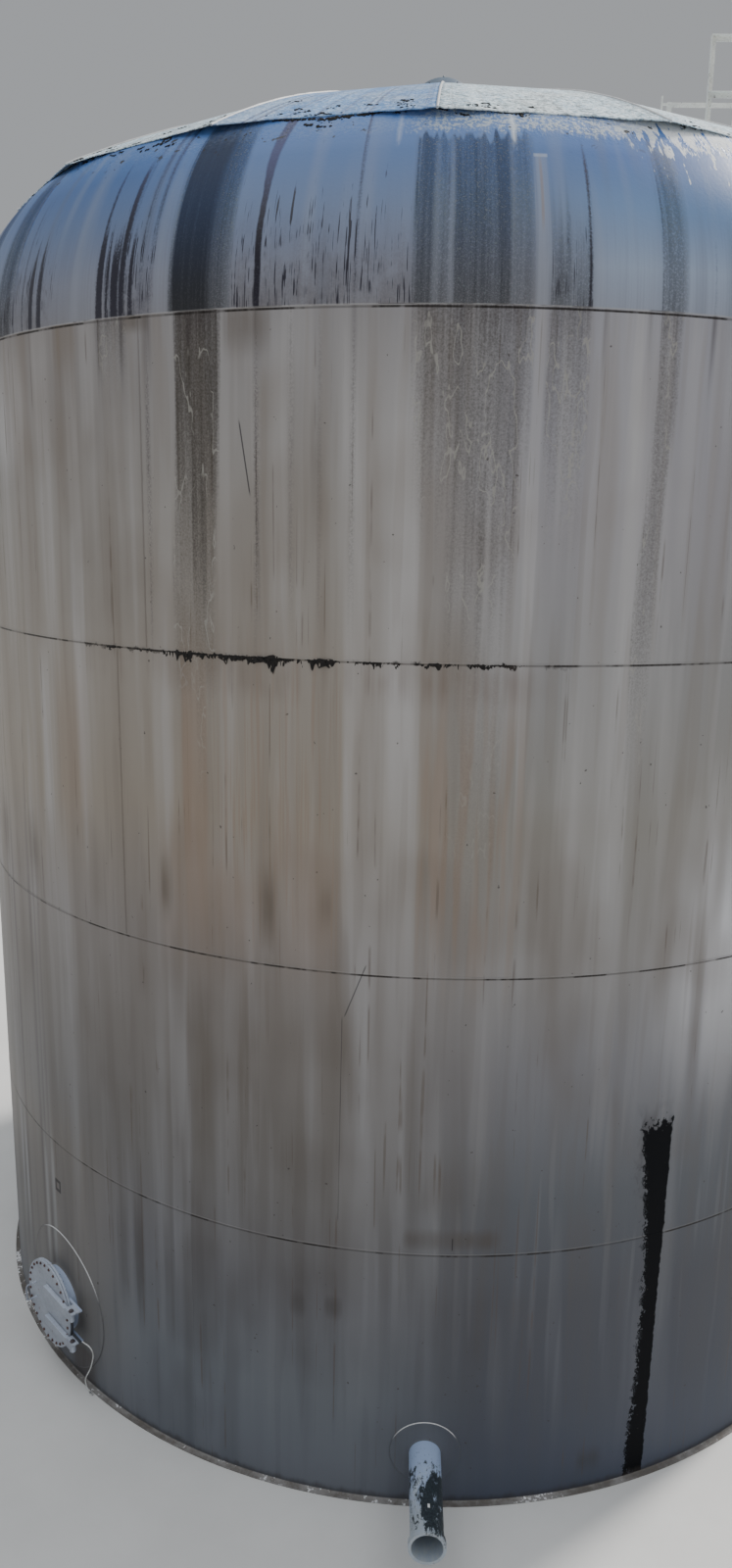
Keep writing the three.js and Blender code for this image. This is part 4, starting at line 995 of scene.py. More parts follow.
def wall_with_hole(sizes, azimuths, heights, fitting, hole):
    """A shell plate with a round hole: cells of the grid near the hole are left out, and the loop of
    grid points around them is joined to the hole's circle by rings that run straight between the two,
    in the plane that the hole is drilled in."""
    points, faces = wall(sizes, azimuths, heights)[0]
    centre, height, reach = fitting.azimuth, fitting.height, 1.25 * hole
    turn_reach = math.degrees(reach / sizes.radius)
    i0, i1 = np.searchsorted(azimuths, [centre - turn_reach, centre + turn_reach]) + [-1, 0]
    j0, j1 = np.searchsorted(heights, [height - reach, height + reach]) + [-1, 0]
    j0 = max(j0, 0)
    i, j = faces[0][:, 0] // len(heights), faces[0][:, 0] % len(heights)
    kept = faces[0][~((i >= i0) & (i < i1) & (j >= j0) & (j < j1))]
    right, up, left, down = (np.arange(*span) for span in ((i0, i1), (j0, j1), (i1, i0, -1), (j1, j0, -1)))
    loop_i = np.concatenate([right, np.full(len(up), i1), left, np.full(len(down), i0)])
    loop_j = np.concatenate([np.full(len(right), j0), up, np.full(len(left), j1), down])
    outer = np.stack([sizes.radius * np.sin(np.radians(azimuths[loop_i] - centre)), heights[loop_j] - height], 1)
    inner = hole * outer / np.linalg.norm(outer, axis=1, keepdims=True)
    share = np.linspace(0, 1, 9)[:, None, None]
    x, up = np.moveaxis(inner * (1 - share) + outer * share, -1, 0)
    patch = turn(np.stack([x, -np.sqrt(sizes.radius**2 - x**2), height + up], -1), centre)
    return [(points, [kept]), (patch.reshape(-1, 3), [weave(9, len(loop_i), False, True)])]


def ring_bead(sizes, height, seed):
    """A weld bead all round the shell: a low arch carried round, its height and middle varied by
    noise as a hand-made bead's are."""
    azimuth = np.linspace(0, 360, 1441)[:-1]
    wobble = rough(azimuth * 2.0, 0.5, 720, seed) - 0.5
    swell = 0.75 + 0.5 * rough(azimuth * 4.0, 3.5, 1440, seed + 1)
    across = np.array([-1.0, -0.9, -0.5, 0.0, 0.5, 0.9, 1.0, 0.0]) * sizes.bead_width / 2
    proud = np.array([-0.6, 0.0, 0.8, 1.0, 0.8, 0.0, -0.6, -0.9])
    r = sizes.radius + sizes.bead_height * proud[None] * swell[:, None]
    return carry(around(azimuth[:, None], r, height + wobble[:, None] * 0.004 + across[None]), ring=True)


def straight_bead(line, radius, side, seed, pace, shift, cells=128):
    """A rod along a line, thicker and thinner by noise as a hand-made bead is."""
    swell = 0.8 + 0.5 * rough(np.arange(len(line)) * pace, shift, cells, seed)
    return rod(line, radius, 8, side, swell[:, None])


def crown_turn(roof, apothem):
    """Slope of the crown's arc at an apothem, in radians: its sine falls evenly towards the middle."""
    return np.arcsin(np.sin(roof.slope) - (roof.eave - np.asarray(apothem, float)) / roof.curve)


def crown_height(roof, sizes, apothem):
    """Height of the crown's underside: the arc's rise above the eave."""
    knuckle_rise = sizes.knuckle * math.sin(math.radians(EAVE_ANGLE))
    foot = SHELL_TOP + knuckle_rise + PLATE_GAP - EAVE_OVERHANG * math.tan(roof.slope)
    return foot + roof.curve * (np.cos(crown_turn(roof, apothem)) - math.cos(roof.slope))


def off_middle(azimuth):
    """Degrees from the middle of the crown plate at an azimuth."""
    return (np.asarray(azimuth, float) - SEAM_AZIMUTH) % GORE_TURN - GORE_TURN / 2


def knuckle_point(sizes, azimuth, angle, inset=0.0, lift=0.0):
    """A point on the knuckle at an angle up its arc, in radians."""
    r = sizes.radius - sizes.knuckle + (sizes.knuckle - inset) * np.cos(angle)
    return around(azimuth, r, SHELL_TOP + lift + (sizes.knuckle - inset) * np.sin(angle))


def rim_angle(roof, sizes, azimuth):
    """Angle up the knuckle at which it meets the crown's underside, halved down from both sides."""
    across = np.cos(np.radians(off_middle(azimuth)))
    low, high, halvings, clearance = np.zeros_like(across), np.full_like(across, 80.0), 40, 0.001
    for _ in range(halvings):
        middle = (low + high) / 2
        r = sizes.radius - sizes.knuckle + sizes.knuckle * np.cos(np.radians(middle))
        z = SHELL_TOP + sizes.knuckle * np.sin(np.radians(middle))
        apothem = r * across
        ceiling = crown_height(roof, sizes, np.minimum(apothem, roof.eave)) + clearance
        under = (apothem > roof.eave) | (z < ceiling)
        low, high = np.where(under, middle, low), np.where(under, high, middle)
    return low


def gore(roof, sizes, first, apothems, columns, ripple):
    """Upper face of one crown plate: at each apothem a straight line between the plate's two corners,
    at the arc's height, with the eave lifted and dropped a little along its length."""
    share = np.linspace(0, 1, columns)[None, :, None]
    a = np.asarray(apothems)[:, None]
    corner = a / math.cos(math.radians(GORE_TURN / 2))
    height = crown_height(roof, sizes, a) + sizes.knuckle_plate
    start, end = (around(np.full_like(a, edge), corner, height) for edge in (first, first + GORE_TURN))
    points = start * (1 - share) + end * share
    along = first + GORE_TURN * share[0, :, 0]
    edge = np.clip(1 - (roof.eave - a) / 0.12, 0, 1)
    points[..., 2] += ripple * edge * (rough(along * 0.8, 0.3, 288, 11)[None] - 0.3)
    return points.reshape(-1, 3), [weave(len(apothems), columns)]


class TankOperator:
    """What the operators share."""

    bl_options = {"REGISTER", "UNDO"}


class TANK_OT_shell(TankOperator, bpy.types.Operator):
    """Build the four courses of shell plates, with holes for the manway and the outlet"""

    bl_idname = "tank.shell"
    bl_label = "Shell"

    def execute(self, context):
        scene = context.scene
        sizes, manway, outlet = scene.tank_shell, scene.tank_manway, scene.tank_outlet
        gap = math.degrees(PLATE_GAP / 2 / sizes.radius)
        holes = {"manway_side": (manway, manway.neck + PLATE_GAP), "front": (outlet, outlet.outer + PLATE_GAP)}
        plates = [(1, side, start, 90, SHELL_FOOT) for side, start in FIRST_COURSE.items()]
        for number, start in UPPER_COURSES.items():
            low = SEAM_HEIGHTS[number - 2] + PLATE_GAP
            plates += [(number, "right", start, 180, low), (number, "left", start + 180, 180, low)]
        for number, side, start, span, low in plates:
            azimuths = edged(start + gap, start + span - gap, 97 if span == 90 else 193)
            heights = edged(low, SEAM_HEIGHTS[number - 1], 25)
            form = wall_with_hole if side in holes else wall
            build(f"plate_{number}_{side}", form(sizes, azimuths, heights, *holes.get(side, ())), "shell",
                  stands_for=[f"shell_course_{number}_{side}"], closed=False, thicken=sizes.plate)
        return {"FINISHED"}


class TANK_OT_knuckle(TankOperator, bpy.types.Operator):
    """Build the four knuckle plates that turn the shell into the roof"""

    bl_idname = "tank.knuckle"
    bl_label = "Knuckle"

    def execute(self, context):
        sizes, roof = context.scene.tank_shell, context.scene.tank_roof
        gap = math.degrees(PLATE_GAP / 2 / sizes.radius)
        share = edged(0.0, 1.0, 41)[None]
        for k in range(4):
            start = SEAM_AZIMUTH - 45 + 90 * k
            azimuths = edged(start + gap, start + 90 - gap, 145)
            angle = np.radians(rim_angle(roof, sizes, azimuths)[:, None] * share)
            points = knuckle_point(sizes, azimuths[:, None], angle, 0.0, np.where(share == 0, PLATE_GAP, 0.0))
            build(f"knuckle_{k + 1}", [(points.reshape(-1, 3), [weave(len(azimuths), share.size)])], "knuckle",
                  stands_for=[f"knuckle_plate_{k + 1}"], closed=False, thicken=sizes.knuckle_plate)
        return {"FINISHED"}


class TANK_OT_crown(TankOperator, bpy.types.Operator):
    """Build the sixteen crown plates, their seams and the centre plate"""

    bl_idname = "tank.crown"
    bl_label = "Crown"

    def execute(self, context):
        sizes, roof = context.scene.tank_shell, context.scene.tank_roof
        outer = np.concatenate([np.linspace(roof.eave, roof.eave - 0.2, 9),
                                np.linspace(roof.eave - 0.3, roof.centre, 30)])
        for k in range(GORES // 2):
            first = SEAM_AZIMUTH - 45 + 45 * k
            self.plates(sizes, f"crown_plate_{k + 1}", f"crown_plates_{k + 1}",
                        [gore(roof, sizes, first + GORE_TURN * n, outer, 33, 0.012) for n in range(2)])
        inner = np.linspace(roof.centre - 0.0003, 0.0, 6)
        self.plates(sizes, "crown_middle", "crown_centre_plate",
                    [gore(roof, sizes, SEAM_AZIMUTH + GORE_TURN * n, inner, 7, 0.0) for n in range(GORES)])
        self.seams(sizes, roof)
        return {"FINISHED"}

    def plates(self, sizes, name, node, parts):
        build(name, parts, "crown", stands_for=[node], closed=False, thicken=sizes.knuckle_plate, sharp=60)

    def seams(self, sizes, roof):
        """Beads along the crown's corners and round its centre plate."""
        apothem = np.linspace(roof.eave - 0.004, roof.centre, 60)
        corner = apothem / math.cos(math.radians(GORE_TURN / 2))
        top = crown_height(roof, sizes, apothem) + sizes.knuckle_plate
        parts = [straight_bead(around(np.full(60, SEAM_AZIMUTH + GORE_TURN * n), corner, top), 0.009,
                               (0, 0, 1), 21, 0.9, n * 1.7, 64) for n in range(GORES)]
        azimuth = SEAM_AZIMUTH + np.linspace(0, 360, 129)[:-1]
        radius = roof.centre / np.cos(np.radians(off_middle(azimuth)))
        line = around(azimuth, radius, crown_height(roof, sizes, roof.centre) + sizes.knuckle_plate)
        along = np.roll(line, -1, axis=0) - np.roll(line, 1, axis=0)
        along /= np.linalg.norm(along, axis=1, keepdims=True)
        up = np.array([0, 0, 1.0])
        angle = np.linspace(0, 2 * np.pi, 8, endpoint=False)[None, :, None]
        ring = np.cos(angle) * np.cross(along, up)[:, None] + np.sin(angle) * up
        parts.append(carry(line[:, None] + 0.008 * ring, ring=True))
        build("crown_seams", parts, "crown_weld")


class TANK_OT_welds(TankOperator, bpy.types.Operator):
    """Build the bottom plate and the weld beads of the shell and the knuckle"""

    bl_idname = "tank.welds"
    bl_label = "Bottom and welds"

    def execute(self, context):
        sizes, roof = context.scene.tank_shell, context.scene.tank_roof
        edge = sizes.radius + sizes.chime
        turned("bottom_disc", [(0.0, 0.0), (edge - 0.001, 0.0), (edge, 0.001), (edge, 0.007), (edge - 0.001, 0.008),
                               (0.0, 0.008)], upright(), 288, "bottom", "bottom_plate")
        fillet = [(-0.004, 0.0083), (0.010, 0.0082), (0.0045, 0.0120), (0.001, 0.0185), (-0.002, 0.0200),
                  (-0.004, 0.0150)]
        turned("chime_weld", [(sizes.radius + out, z) for out, z in fillet], upright(), 576, "bottom")
        build("seam_beads", [ring_bead(sizes, z, 30 + 7 * k) for k, z in enumerate(SEAM_HEIGHTS)], "shell")
        lines = [(start, SHELL_FOOT + 0.01, SEAM_HEIGHTS[0]) for start in FIRST_COURSE.values()]
        for number, start in UPPER_COURSES.items():
            lines += [(start + side, *SEAM_HEIGHTS[number - 2:number]) for side in (0, 180)]
        parts = [straight_bead(around(np.full(160, azimuth), sizes.radius - 0.0045, np.linspace(low, high, 160)),
                               0.007, around(azimuth, 1.0, 0.0), 41, 0.7, k * 2.3)
                 for k, (azimuth, low, high) in enumerate(lines)]
        build("upright_beads", parts, "shell")
        parts = []
        for k in range(4):
            azimuth = SEAM_AZIMUTH - 45 + 90 * k
            angle = np.radians(np.linspace(0, float(rim_angle(roof, sizes, azimuth)), 90))
            line = knuckle_point(sizes, np.full(90, azimuth), angle, 0.0045)
            side = np.cross(around(azimuth, 1.0, 0.0), [0, 0, 1.0])
            parts.append(straight_bead(line, 0.007, side, 43, 0.7, k * 3.1))
        build("knuckle_beads", parts, "knuckle")
        return {"FINISHED"}


class TANK_OT_growth(TankOperator, bpy.types.Operator):
    """Build the black crust that hangs under the third seam and the clumps of growth near the eave"""

    bl_idname = "tank.growth"
    bl_label = "Crust and clumps"

    def execute(self, context):
        sizes, roof = context.scene.tank_shell, context.scene.tank_roof
        self.crust(sizes)
        self.clumps(sizes, roof)
        return {"FINISHED"}

    def crust(self, sizes):
        """A skin under the seam whose distance out is noise less a limit, so that only lumps show, and
        whose lumps reach further down where the noise is strong."""
        columns, rows = 1400, 16
        a, d = np.meshgrid(np.linspace(-36.0, 11.0, columns), np.linspace(-0.2, 1.0, rows), indexing="ij")
        heavy = np.interp(a, [-36, -33, -27, -24, -19, -17, -8, -6, -3, 0, 4, 9, 11],
                          [0, 0.3, 0.3, 0.7, 0.6, 1, 0.95, 0.4, 0.5, 0.6, 0.55, 0.55, 0])
        cluster = 0.65 * rough(a * 0.8, 0.5, 360, 50) + 0.35 * rough(a * 2.1, 0.5, 720, 54)
        lumps = 0.5 * rough(a * 3.1, d * 1.4, 1080, 51) + 0.5 * rough(a * 9.0, d * 3.0, 3240, 52)
        depth = 0.014 + 0.13 * heavy * rough(a * 3.3, 0.5, 1080, 53) ** 2
        grown = 1.7 * lumps * (0.4 + heavy) * (0.35 + np.clip(cluster * 2.2 - 0.7, 0, 1))
        out = sizes.crust * (grown - 0.58 - 0.4 * np.clip(d, 0, 1) ** 2 - 2.0 * np.clip(-d, 0, 1))
        r, z = sizes.radius + np.maximum(out, -0.004), SEAM_HEIGHTS[2] - d * depth - 0.004
        parts = [(around(a + side, r, z).reshape(-1, 3), [weave(columns, rows)]) for side in (0.0, 180.0)]
        build("seam_crust", parts, "crust", closed=False, sharp=180)

    def clumps(self, sizes, roof):
        """Flattened blobs, a few dozen faces each, set on the knuckle's top and the crown's lower part
        at seeded random places, most of them near the eave."""
        rng = np.random.default_rng(7)
        count, groups, close = 1500, 150, 14
        heart = rng.uniform(-180, 180, groups)
        heart[:70] = rng.uniform(-46, 6, 70)
        heart[:close] = np.linspace(-13.0, -7.0, close)
        depth = np.abs(rng.normal(0, 0.2, groups))
        depth[:close] *= 0.3
        member = (groups * rng.random(count) ** 1.3).astype(int)
        azimuth = heart[member] + rng.normal(0, 0.42, count)
        back = np.clip(depth[member] + rng.normal(0, 0.022, count), 0.01, None)
        size = 0.004 + 0.013 * rng.random(count) ** 2
        on_crown = (rng.random(groups) < np.where(np.arange(groups) < close, 0.25, 0.5))[member]
        apothem = roof.eave - 0.02 - back
        crown = around(azimuth, apothem / np.cos(np.radians(off_middle(azimuth))),
                       crown_height(roof, sizes, apothem) + sizes.knuckle_plate)
        angle = np.radians(rim_angle(roof, sizes, azimuth) - 0.8 - 9 * back)
        centre = np.where(on_crown[:, None], crown, knuckle_point(sizes, azimuth, angle))
        lean = np.where(on_crown, np.pi / 2 - crown_turn(roof, apothem), angle)
        normal = around(azimuth, np.cos(lean), np.sin(lean))
        u = np.cross(normal, [0, 0, 1.0])
        u /= np.linalg.norm(u, axis=1, keepdims=True)
        u, v, normal = (w[:, None, None] for w in (u, np.cross(normal, u), normal))
        t = np.linspace(0, 2 * np.pi, 9)[None, :-1, None, None]
        h = np.linspace(0, np.pi / 2, 4)[None, None, :, None]
        wobble = 0.6 + 0.8 * rng.random((count, 8, 4))
        wobble[:, :, 3] = 1.0
        blob = (np.cos(t) * u + np.sin(t) * v) * np.cos(h) * wobble[..., None] + normal * (np.sin(h) * 0.55 - 0.12)
        points = centre[:, None, None] + size[:, None, None, None] * blob
        parts = [(points[k].reshape(-1, 3), [weave(8, 4, True, False)]) for k in range(count)]
        build("growth_clumps", parts, "crust", closed=False, sharp=180)


class TANK_OT_vent(TankOperator, bpy.types.Operator):
    """Build the vent: a neck, a domed cap with small knobs and a thin finial"""

    bl_idname = "tank.vent"
    bl_label = "Vent"

    def execute(self, context):
        sizes, roof = context.scene.tank_shell, context.scene.tank_roof
        skin, neck, rim = 0.004, roof.vent_neck, roof.vent_cap
        top = float(crown_height(roof, sizes, 0.0)) + sizes.knuckle_plate + roof.vent_top
        centre = top - roof.vent_dome
        outer, inner = (np.stack([r, centre + np.sqrt(dome**2 - r**2)], 1) for r, dome in (
            (np.linspace(0, rim, 18), roof.vent_dome), (np.linspace(rim - skin, 0, 18), roof.vent_dome - skin)))
        low = outer[-1, 1] - 0.02
        cap = np.concatenate([outer, [(rim, low + 0.002), (rim - 0.001, low), (rim - skin, low)], inner])
        finial = [(0, -0.003), (0.014, -0.002), (0.013, 0.003), (0.006, 0.006), (0.006, 0.020), (0.009, 0.024),
                  (0.007, 0.030), (0, 0.030)]
        place = upright(roof.vent_shift)
        parts = [lathe(cap, place, 72), lathe(finial, upright(roof.vent_shift, 0, top), 16)]
        build("vent_hood", parts, "vent", stands_for=["vent_cap"])
        knob = [(0, -0.004), (0.009, -0.004), (0.009, 0.006), (0.005, 0.008), (0.005, 0.016), (0.008, 0.020),
                (0.004, 0.024), (0, 0.024)]
        reach = rim - 0.016
        seat = centre + math.sqrt(roof.vent_dome**2 - reach**2)
        spot = [reach, 0.0, 0.0]
        knobs = [lathe(knob, upright(roof.vent_shift + x, y, seat), 12)
                 for x, y, _ in (turn(spot, step) for step in range(0, 360, 60))]
        build("vent_knobs", knobs, "bolt")
        neck_top = centre + math.sqrt((roof.vent_dome - skin) ** 2 - neck**2) - 0.0005
        foot = float(crown_height(roof, sizes, neck)) + sizes.knuckle_plate - 0.02
        turned("vent_pipe", [(neck - 0.006, foot), (neck + 0.012, foot), (neck + 0.010, foot + 0.020),
                             (neck, foot + 0.034), (neck, neck_top), (neck - 0.006, neck_top)],
               place, 72, "vent", "vent_neck")
        return {"FINISHED"}


def pad_profile(hole, edge, thickness=0.008):
    """Section of a reinforcing pad from its hole to its edge: flat, with a fillet weld at each."""
    return [(hole, -0.001), (edge + 0.009, -0.001), (edge + 0.009, 0.0012), (edge + 0.003, 0.0068),
            (edge - 0.002, thickness + 0.0008), (edge - 0.010, thickness), (hole + 0.014, thickness),
            (hole + 0.004, thickness + 0.007), (hole, thickness + 0.014), (hole, (thickness + 0.013) / 2)]


def hexagon(origin, axis, across, height, start=0.0):
    """A hexagonal head with chamfered corners on a washer, along an axis from its seat."""
    r = across / math.sqrt(3)
    head = [(0, 0), (r, 0), (r, height * 0.86), (r * 0.86, height), (0, height), (0, height / 2)]
    washer = [(0, -0.003), (r * 1.25, -0.003), (r * 1.25, -0.0003), (0, -0.0003)]
    return [lathe(head, pointing(origin, axis, start), 6), lathe(washer, pointing(origin, axis), 20)]


class TANK_OT_manway(TankOperator, bpy.types.Operator):
    """Build the manway: pad, neck and flange, gasket, hinged cover with its arms, bolts and handle"""

    bl_idname = "tank.manway"
    bl_label = "Manway"

    def execute(self, context):
        sizes, m = context.scene.tank_shell, context.scene.tank_manway
        straight, bent = out_of_shell(sizes, m), out_of_shell(sizes, m, True)
        rim = m.flange
        turned("manway_pad_plate", pad_profile(m.neck + PLATE_GAP, m.pad), bent, 240, "shell", "manway_pad")
        bead = [(-0.005, 0.0065), (0, 0.0062), (0.004, 0.0030), (0.0035, 0.0070), (0.001, 0.0096), (-0.004, 0.0092)]
        turned("manway_pad_bead", [(m.pad + 0.0035 + r, out) for r, out in bead], bent, 300, "manway_weld")
        turned("manway_throat", [
            (m.bore, -0.05), (m.neck - 0.001, -0.05), (m.neck, -0.049), (m.neck, 0.125), (rim - 0.002, 0.125),
            (rim, 0.127), (rim, 0.145), (rim - 0.002, 0.147), (m.bore + 0.002, 0.147), (m.bore, 0.145),
        ], straight, 144, "fitting", "manway_neck")
        turned("manway_flange_weld", [(m.neck - 0.001, 0.112), (m.neck + 0.006, 0.114), (m.neck + 0.012, 0.1255),
                                      (m.neck - 0.001, 0.1255)], straight, 144, "fitting")
        seal, inner = m.bolt_circle - 0.02, m.bore + 0.004
        turned("manway_gasket", [(inner, 0.1472), (seal, 0.1472), (seal, 0.1516), (inner, 0.1516)],
               straight, 120, "gasket")
        turned("manway_lid", [(0, 0.152), (rim - 0.0015, 0.152), (rim, 0.1535), (rim, 0.1665), (rim - 0.0015, 0.168),
                              (0, 0.168)], straight, 144, "fitting", "manway_cover", body="cover")
        self.bolts(m, straight)
        self.hinge(sizes, m)
        self.handle(sizes, m)
        return {"FINISHED"}

    def bolts(self, m, place):
        """A ring of hexagon heads on the cover and of nuts behind the flange, and dark discs between them that are
        painted shade for the bolt holes.
        """
        heads, nuts, holes, lid_hole_shades = [], [], [], []
        outward, nut_height = around(m.azimuth, 1.0, 0.0), 0.012
        stud = [(0, 0), (0.0065, 0), (0.0065, 0.008), (0.0055, 0.009), (0, 0.009), (0, 0.004)]
        disc = [(0, 0), (0.011, 0), (0.011, 0.0003), (0, 0.0003)]
        for angle in 2 * np.pi * (np.arange(m.bolts) + 0.5) / m.bolts:
            cover_front, flange_back, flange_front, cover_back = (
                place(*np.array([m.bolt_circle, out, angle])) for out in (0.1712, 0.1218, 0.1471, 0.1519))
            heads += hexagon(cover_front, outward, 0.020, 0.009, angle)
            nuts += hexagon(flange_back, -outward, 0.022, nut_height, angle + 0.2)
            nuts.append(lathe(stud, pointing(flange_back - nut_height * outward, -outward), 10))
            holes.append(lathe(disc, pointing(flange_front, outward), 16))
            lid_hole_shades.append(lathe(disc, pointing(cover_back, -outward), 16))
        build("cover_bolt_heads", heads, "rusty_bolt", "cover")
        build("flange_nuts", nuts, "fitting")
        build("flange_bolt_hole_shades", holes, "hole")
        build("cover_bolt_hole_shades", lid_hole_shades, "hole", "cover")

    def hinge(self, sizes, m):
        """Two arms on the cover with an eye each, two lugs on the flange and a bolt through each pair."""
        pin, arm_out, half_thick, half_wide = 0.526, 0.1893, 0.021, 0.04
        y = -(sizes.radius + arm_out)

        def piece(name, parts, body, bevel, *nodes):
            build(name, [(turn(p, m.azimuth), f) for p, f in parts], "fitting", body, stands_for=nodes, bevel=bevel)

        for name, centre in (("upper", 0.165), ("lower", -0.165)):
            low, high = m.height + centre - half_wide, m.height + centre + half_wide
            bar = block((-0.015, y - half_thick, low), (pin - 0.017, y + half_thick, high))
            eye = lathe([(0.013, low), (0.029, low), (0.030, low + 0.001), (0.030, high + 0.004),
                         (0.029, high + 0.005), (0.013, high + 0.005)], upright(pin, y), 40)
            piece(f"hinge_arm_{name}", (bar, eye), "cover", 0.003, f"cover_arm_{name}")
            welds = [block((-0.019, -(sizes.radius + 0.1735), edge - 0.005),
                           (m.flange - 0.05, -(sizes.radius + 0.1680), edge + 0.005)) for edge in (low, high)]
            piece(f"hinge_arm_weld_{name}", welds, "cover", 0.0025)
            lug_low, lug_high = high + 0.006, high + 0.022
            inner = math.sqrt(m.neck**2 - min(abs(lug_low - m.height), abs(lug_high - m.height)) ** 2) + 0.0006
            outline = [(inner, 0.100), (0.578, 0.100), (0.578, 0.2213), (0.444, 0.2213), (0.444, 0.1247),
                       (inner, 0.1247)]
            lug = raised([[x, -(sizes.radius + out), lug_low] for x, out in outline], [0, 0, lug_high - lug_low])
            piece(f"hinge_lug_plate_{name}", [lug], "tank", 0.002, f"hinge_lug_{name}")
            top, foot = lug_high + PLATE_GAP, low - 0.001
            at, up = turn([pin, y, 0.0], m.azimuth), np.array([0, 0, 1.0])
            shank = [(0, foot - 0.020), (0.010, foot - 0.020), (0.012, foot - 0.018), (0.012, top), (0, top),
                     (0, (top + foot) / 2)]
            parts = [lathe(shank, pointing(at, up), 20), *hexagon(at + up * (top + 0.003), up, 0.036, 0.0125),
                     *hexagon(at + up * (foot - 0.003), -up, 0.036, 0.0125)]
            build(f"hinge_pin_{name}", parts, "bolt", stands_for=[f"hinge_bolt_{name}"])

    def handle(self, sizes, m):
        """A bent rod: out from the cover, round a quarter circle, down, and back in."""
        near, far, bend, side = 0.1683, 0.268, 0.025, -0.275
        top, bottom = m.height + 0.083, m.height - 0.085
        quarter = np.linspace(0, np.pi / 2, 9)
        sine, cosine = bend * np.sin(quarter), bend * np.cos(quarter)
        out = np.concatenate([[near], far - bend + sine, far - bend + cosine, [near]])
        up = np.concatenate([[top], top - bend + cosine, bottom + bend - sine, [bottom]])
        grip = rod(np.stack([np.full(20, side), -(sizes.radius + out), up], 1), 0.008, 16, (1, 0, 0))
        foot = [(0, 0), (0.014, 0), (0.009, 0.006), (0, 0.006)]
        seats = [pointing([side, -(sizes.radius + near - 0.0005), z], (0, -1, 0)) for z in (top, bottom)]
        parts = [grip, *(lathe(foot, seat, 20) for seat in seats)]
        build("pull_handle", [(turn(p, m.azimuth), f) for p, f in parts], "fitting", "cover",
              stands_for=["cover_handle"])


class TANK_OT_outlet(TankOperator, bpy.types.Operator):
    """Build the outlet nozzle and its reinforcing pad"""

    bl_idname = "tank.outlet"
    bl_label = "Outlet"

    def execute(self, context):
        sizes, o = context.scene.tank_shell, context.scene.tank_outlet
        bent = out_of_shell(sizes, o, True)
        turned("outlet_pad_plate", pad_profile(o.outer + PLATE_GAP, o.pad), bent, 160, "shell", "outlet_pad")
        bead = [(-0.004, 0.0065), (0, 0.0062), (0.003, 0.0032), (0.0025, 0.0066), (0.001, 0.0086), (-0.003, 0.0084)]
        turned("outlet_pad_bead", [(o.pad + 0.0035 + r, out) for r, out in bead], bent, 200, "outlet_weld")
        start = o.reach - 0.06
        skin = [(o.outer, along) for along in np.linspace(-0.06, start, 40)]
        turned("outlet_nozzle", [
            (o.bore, -0.06), *skin, (o.rim - 0.003, start), (o.rim, start + 0.003), (o.rim, o.reach - 0.002),
            (o.rim - 0.002, o.reach), (o.bore + 0.001, o.reach), (o.bore, o.reach - 0.001),
            (o.bore, (o.reach - 0.061) / 2),
        ], out_of_shell(sizes, o), 96, "pipe", "outlet_pipe")
        return {"FINISHED"}


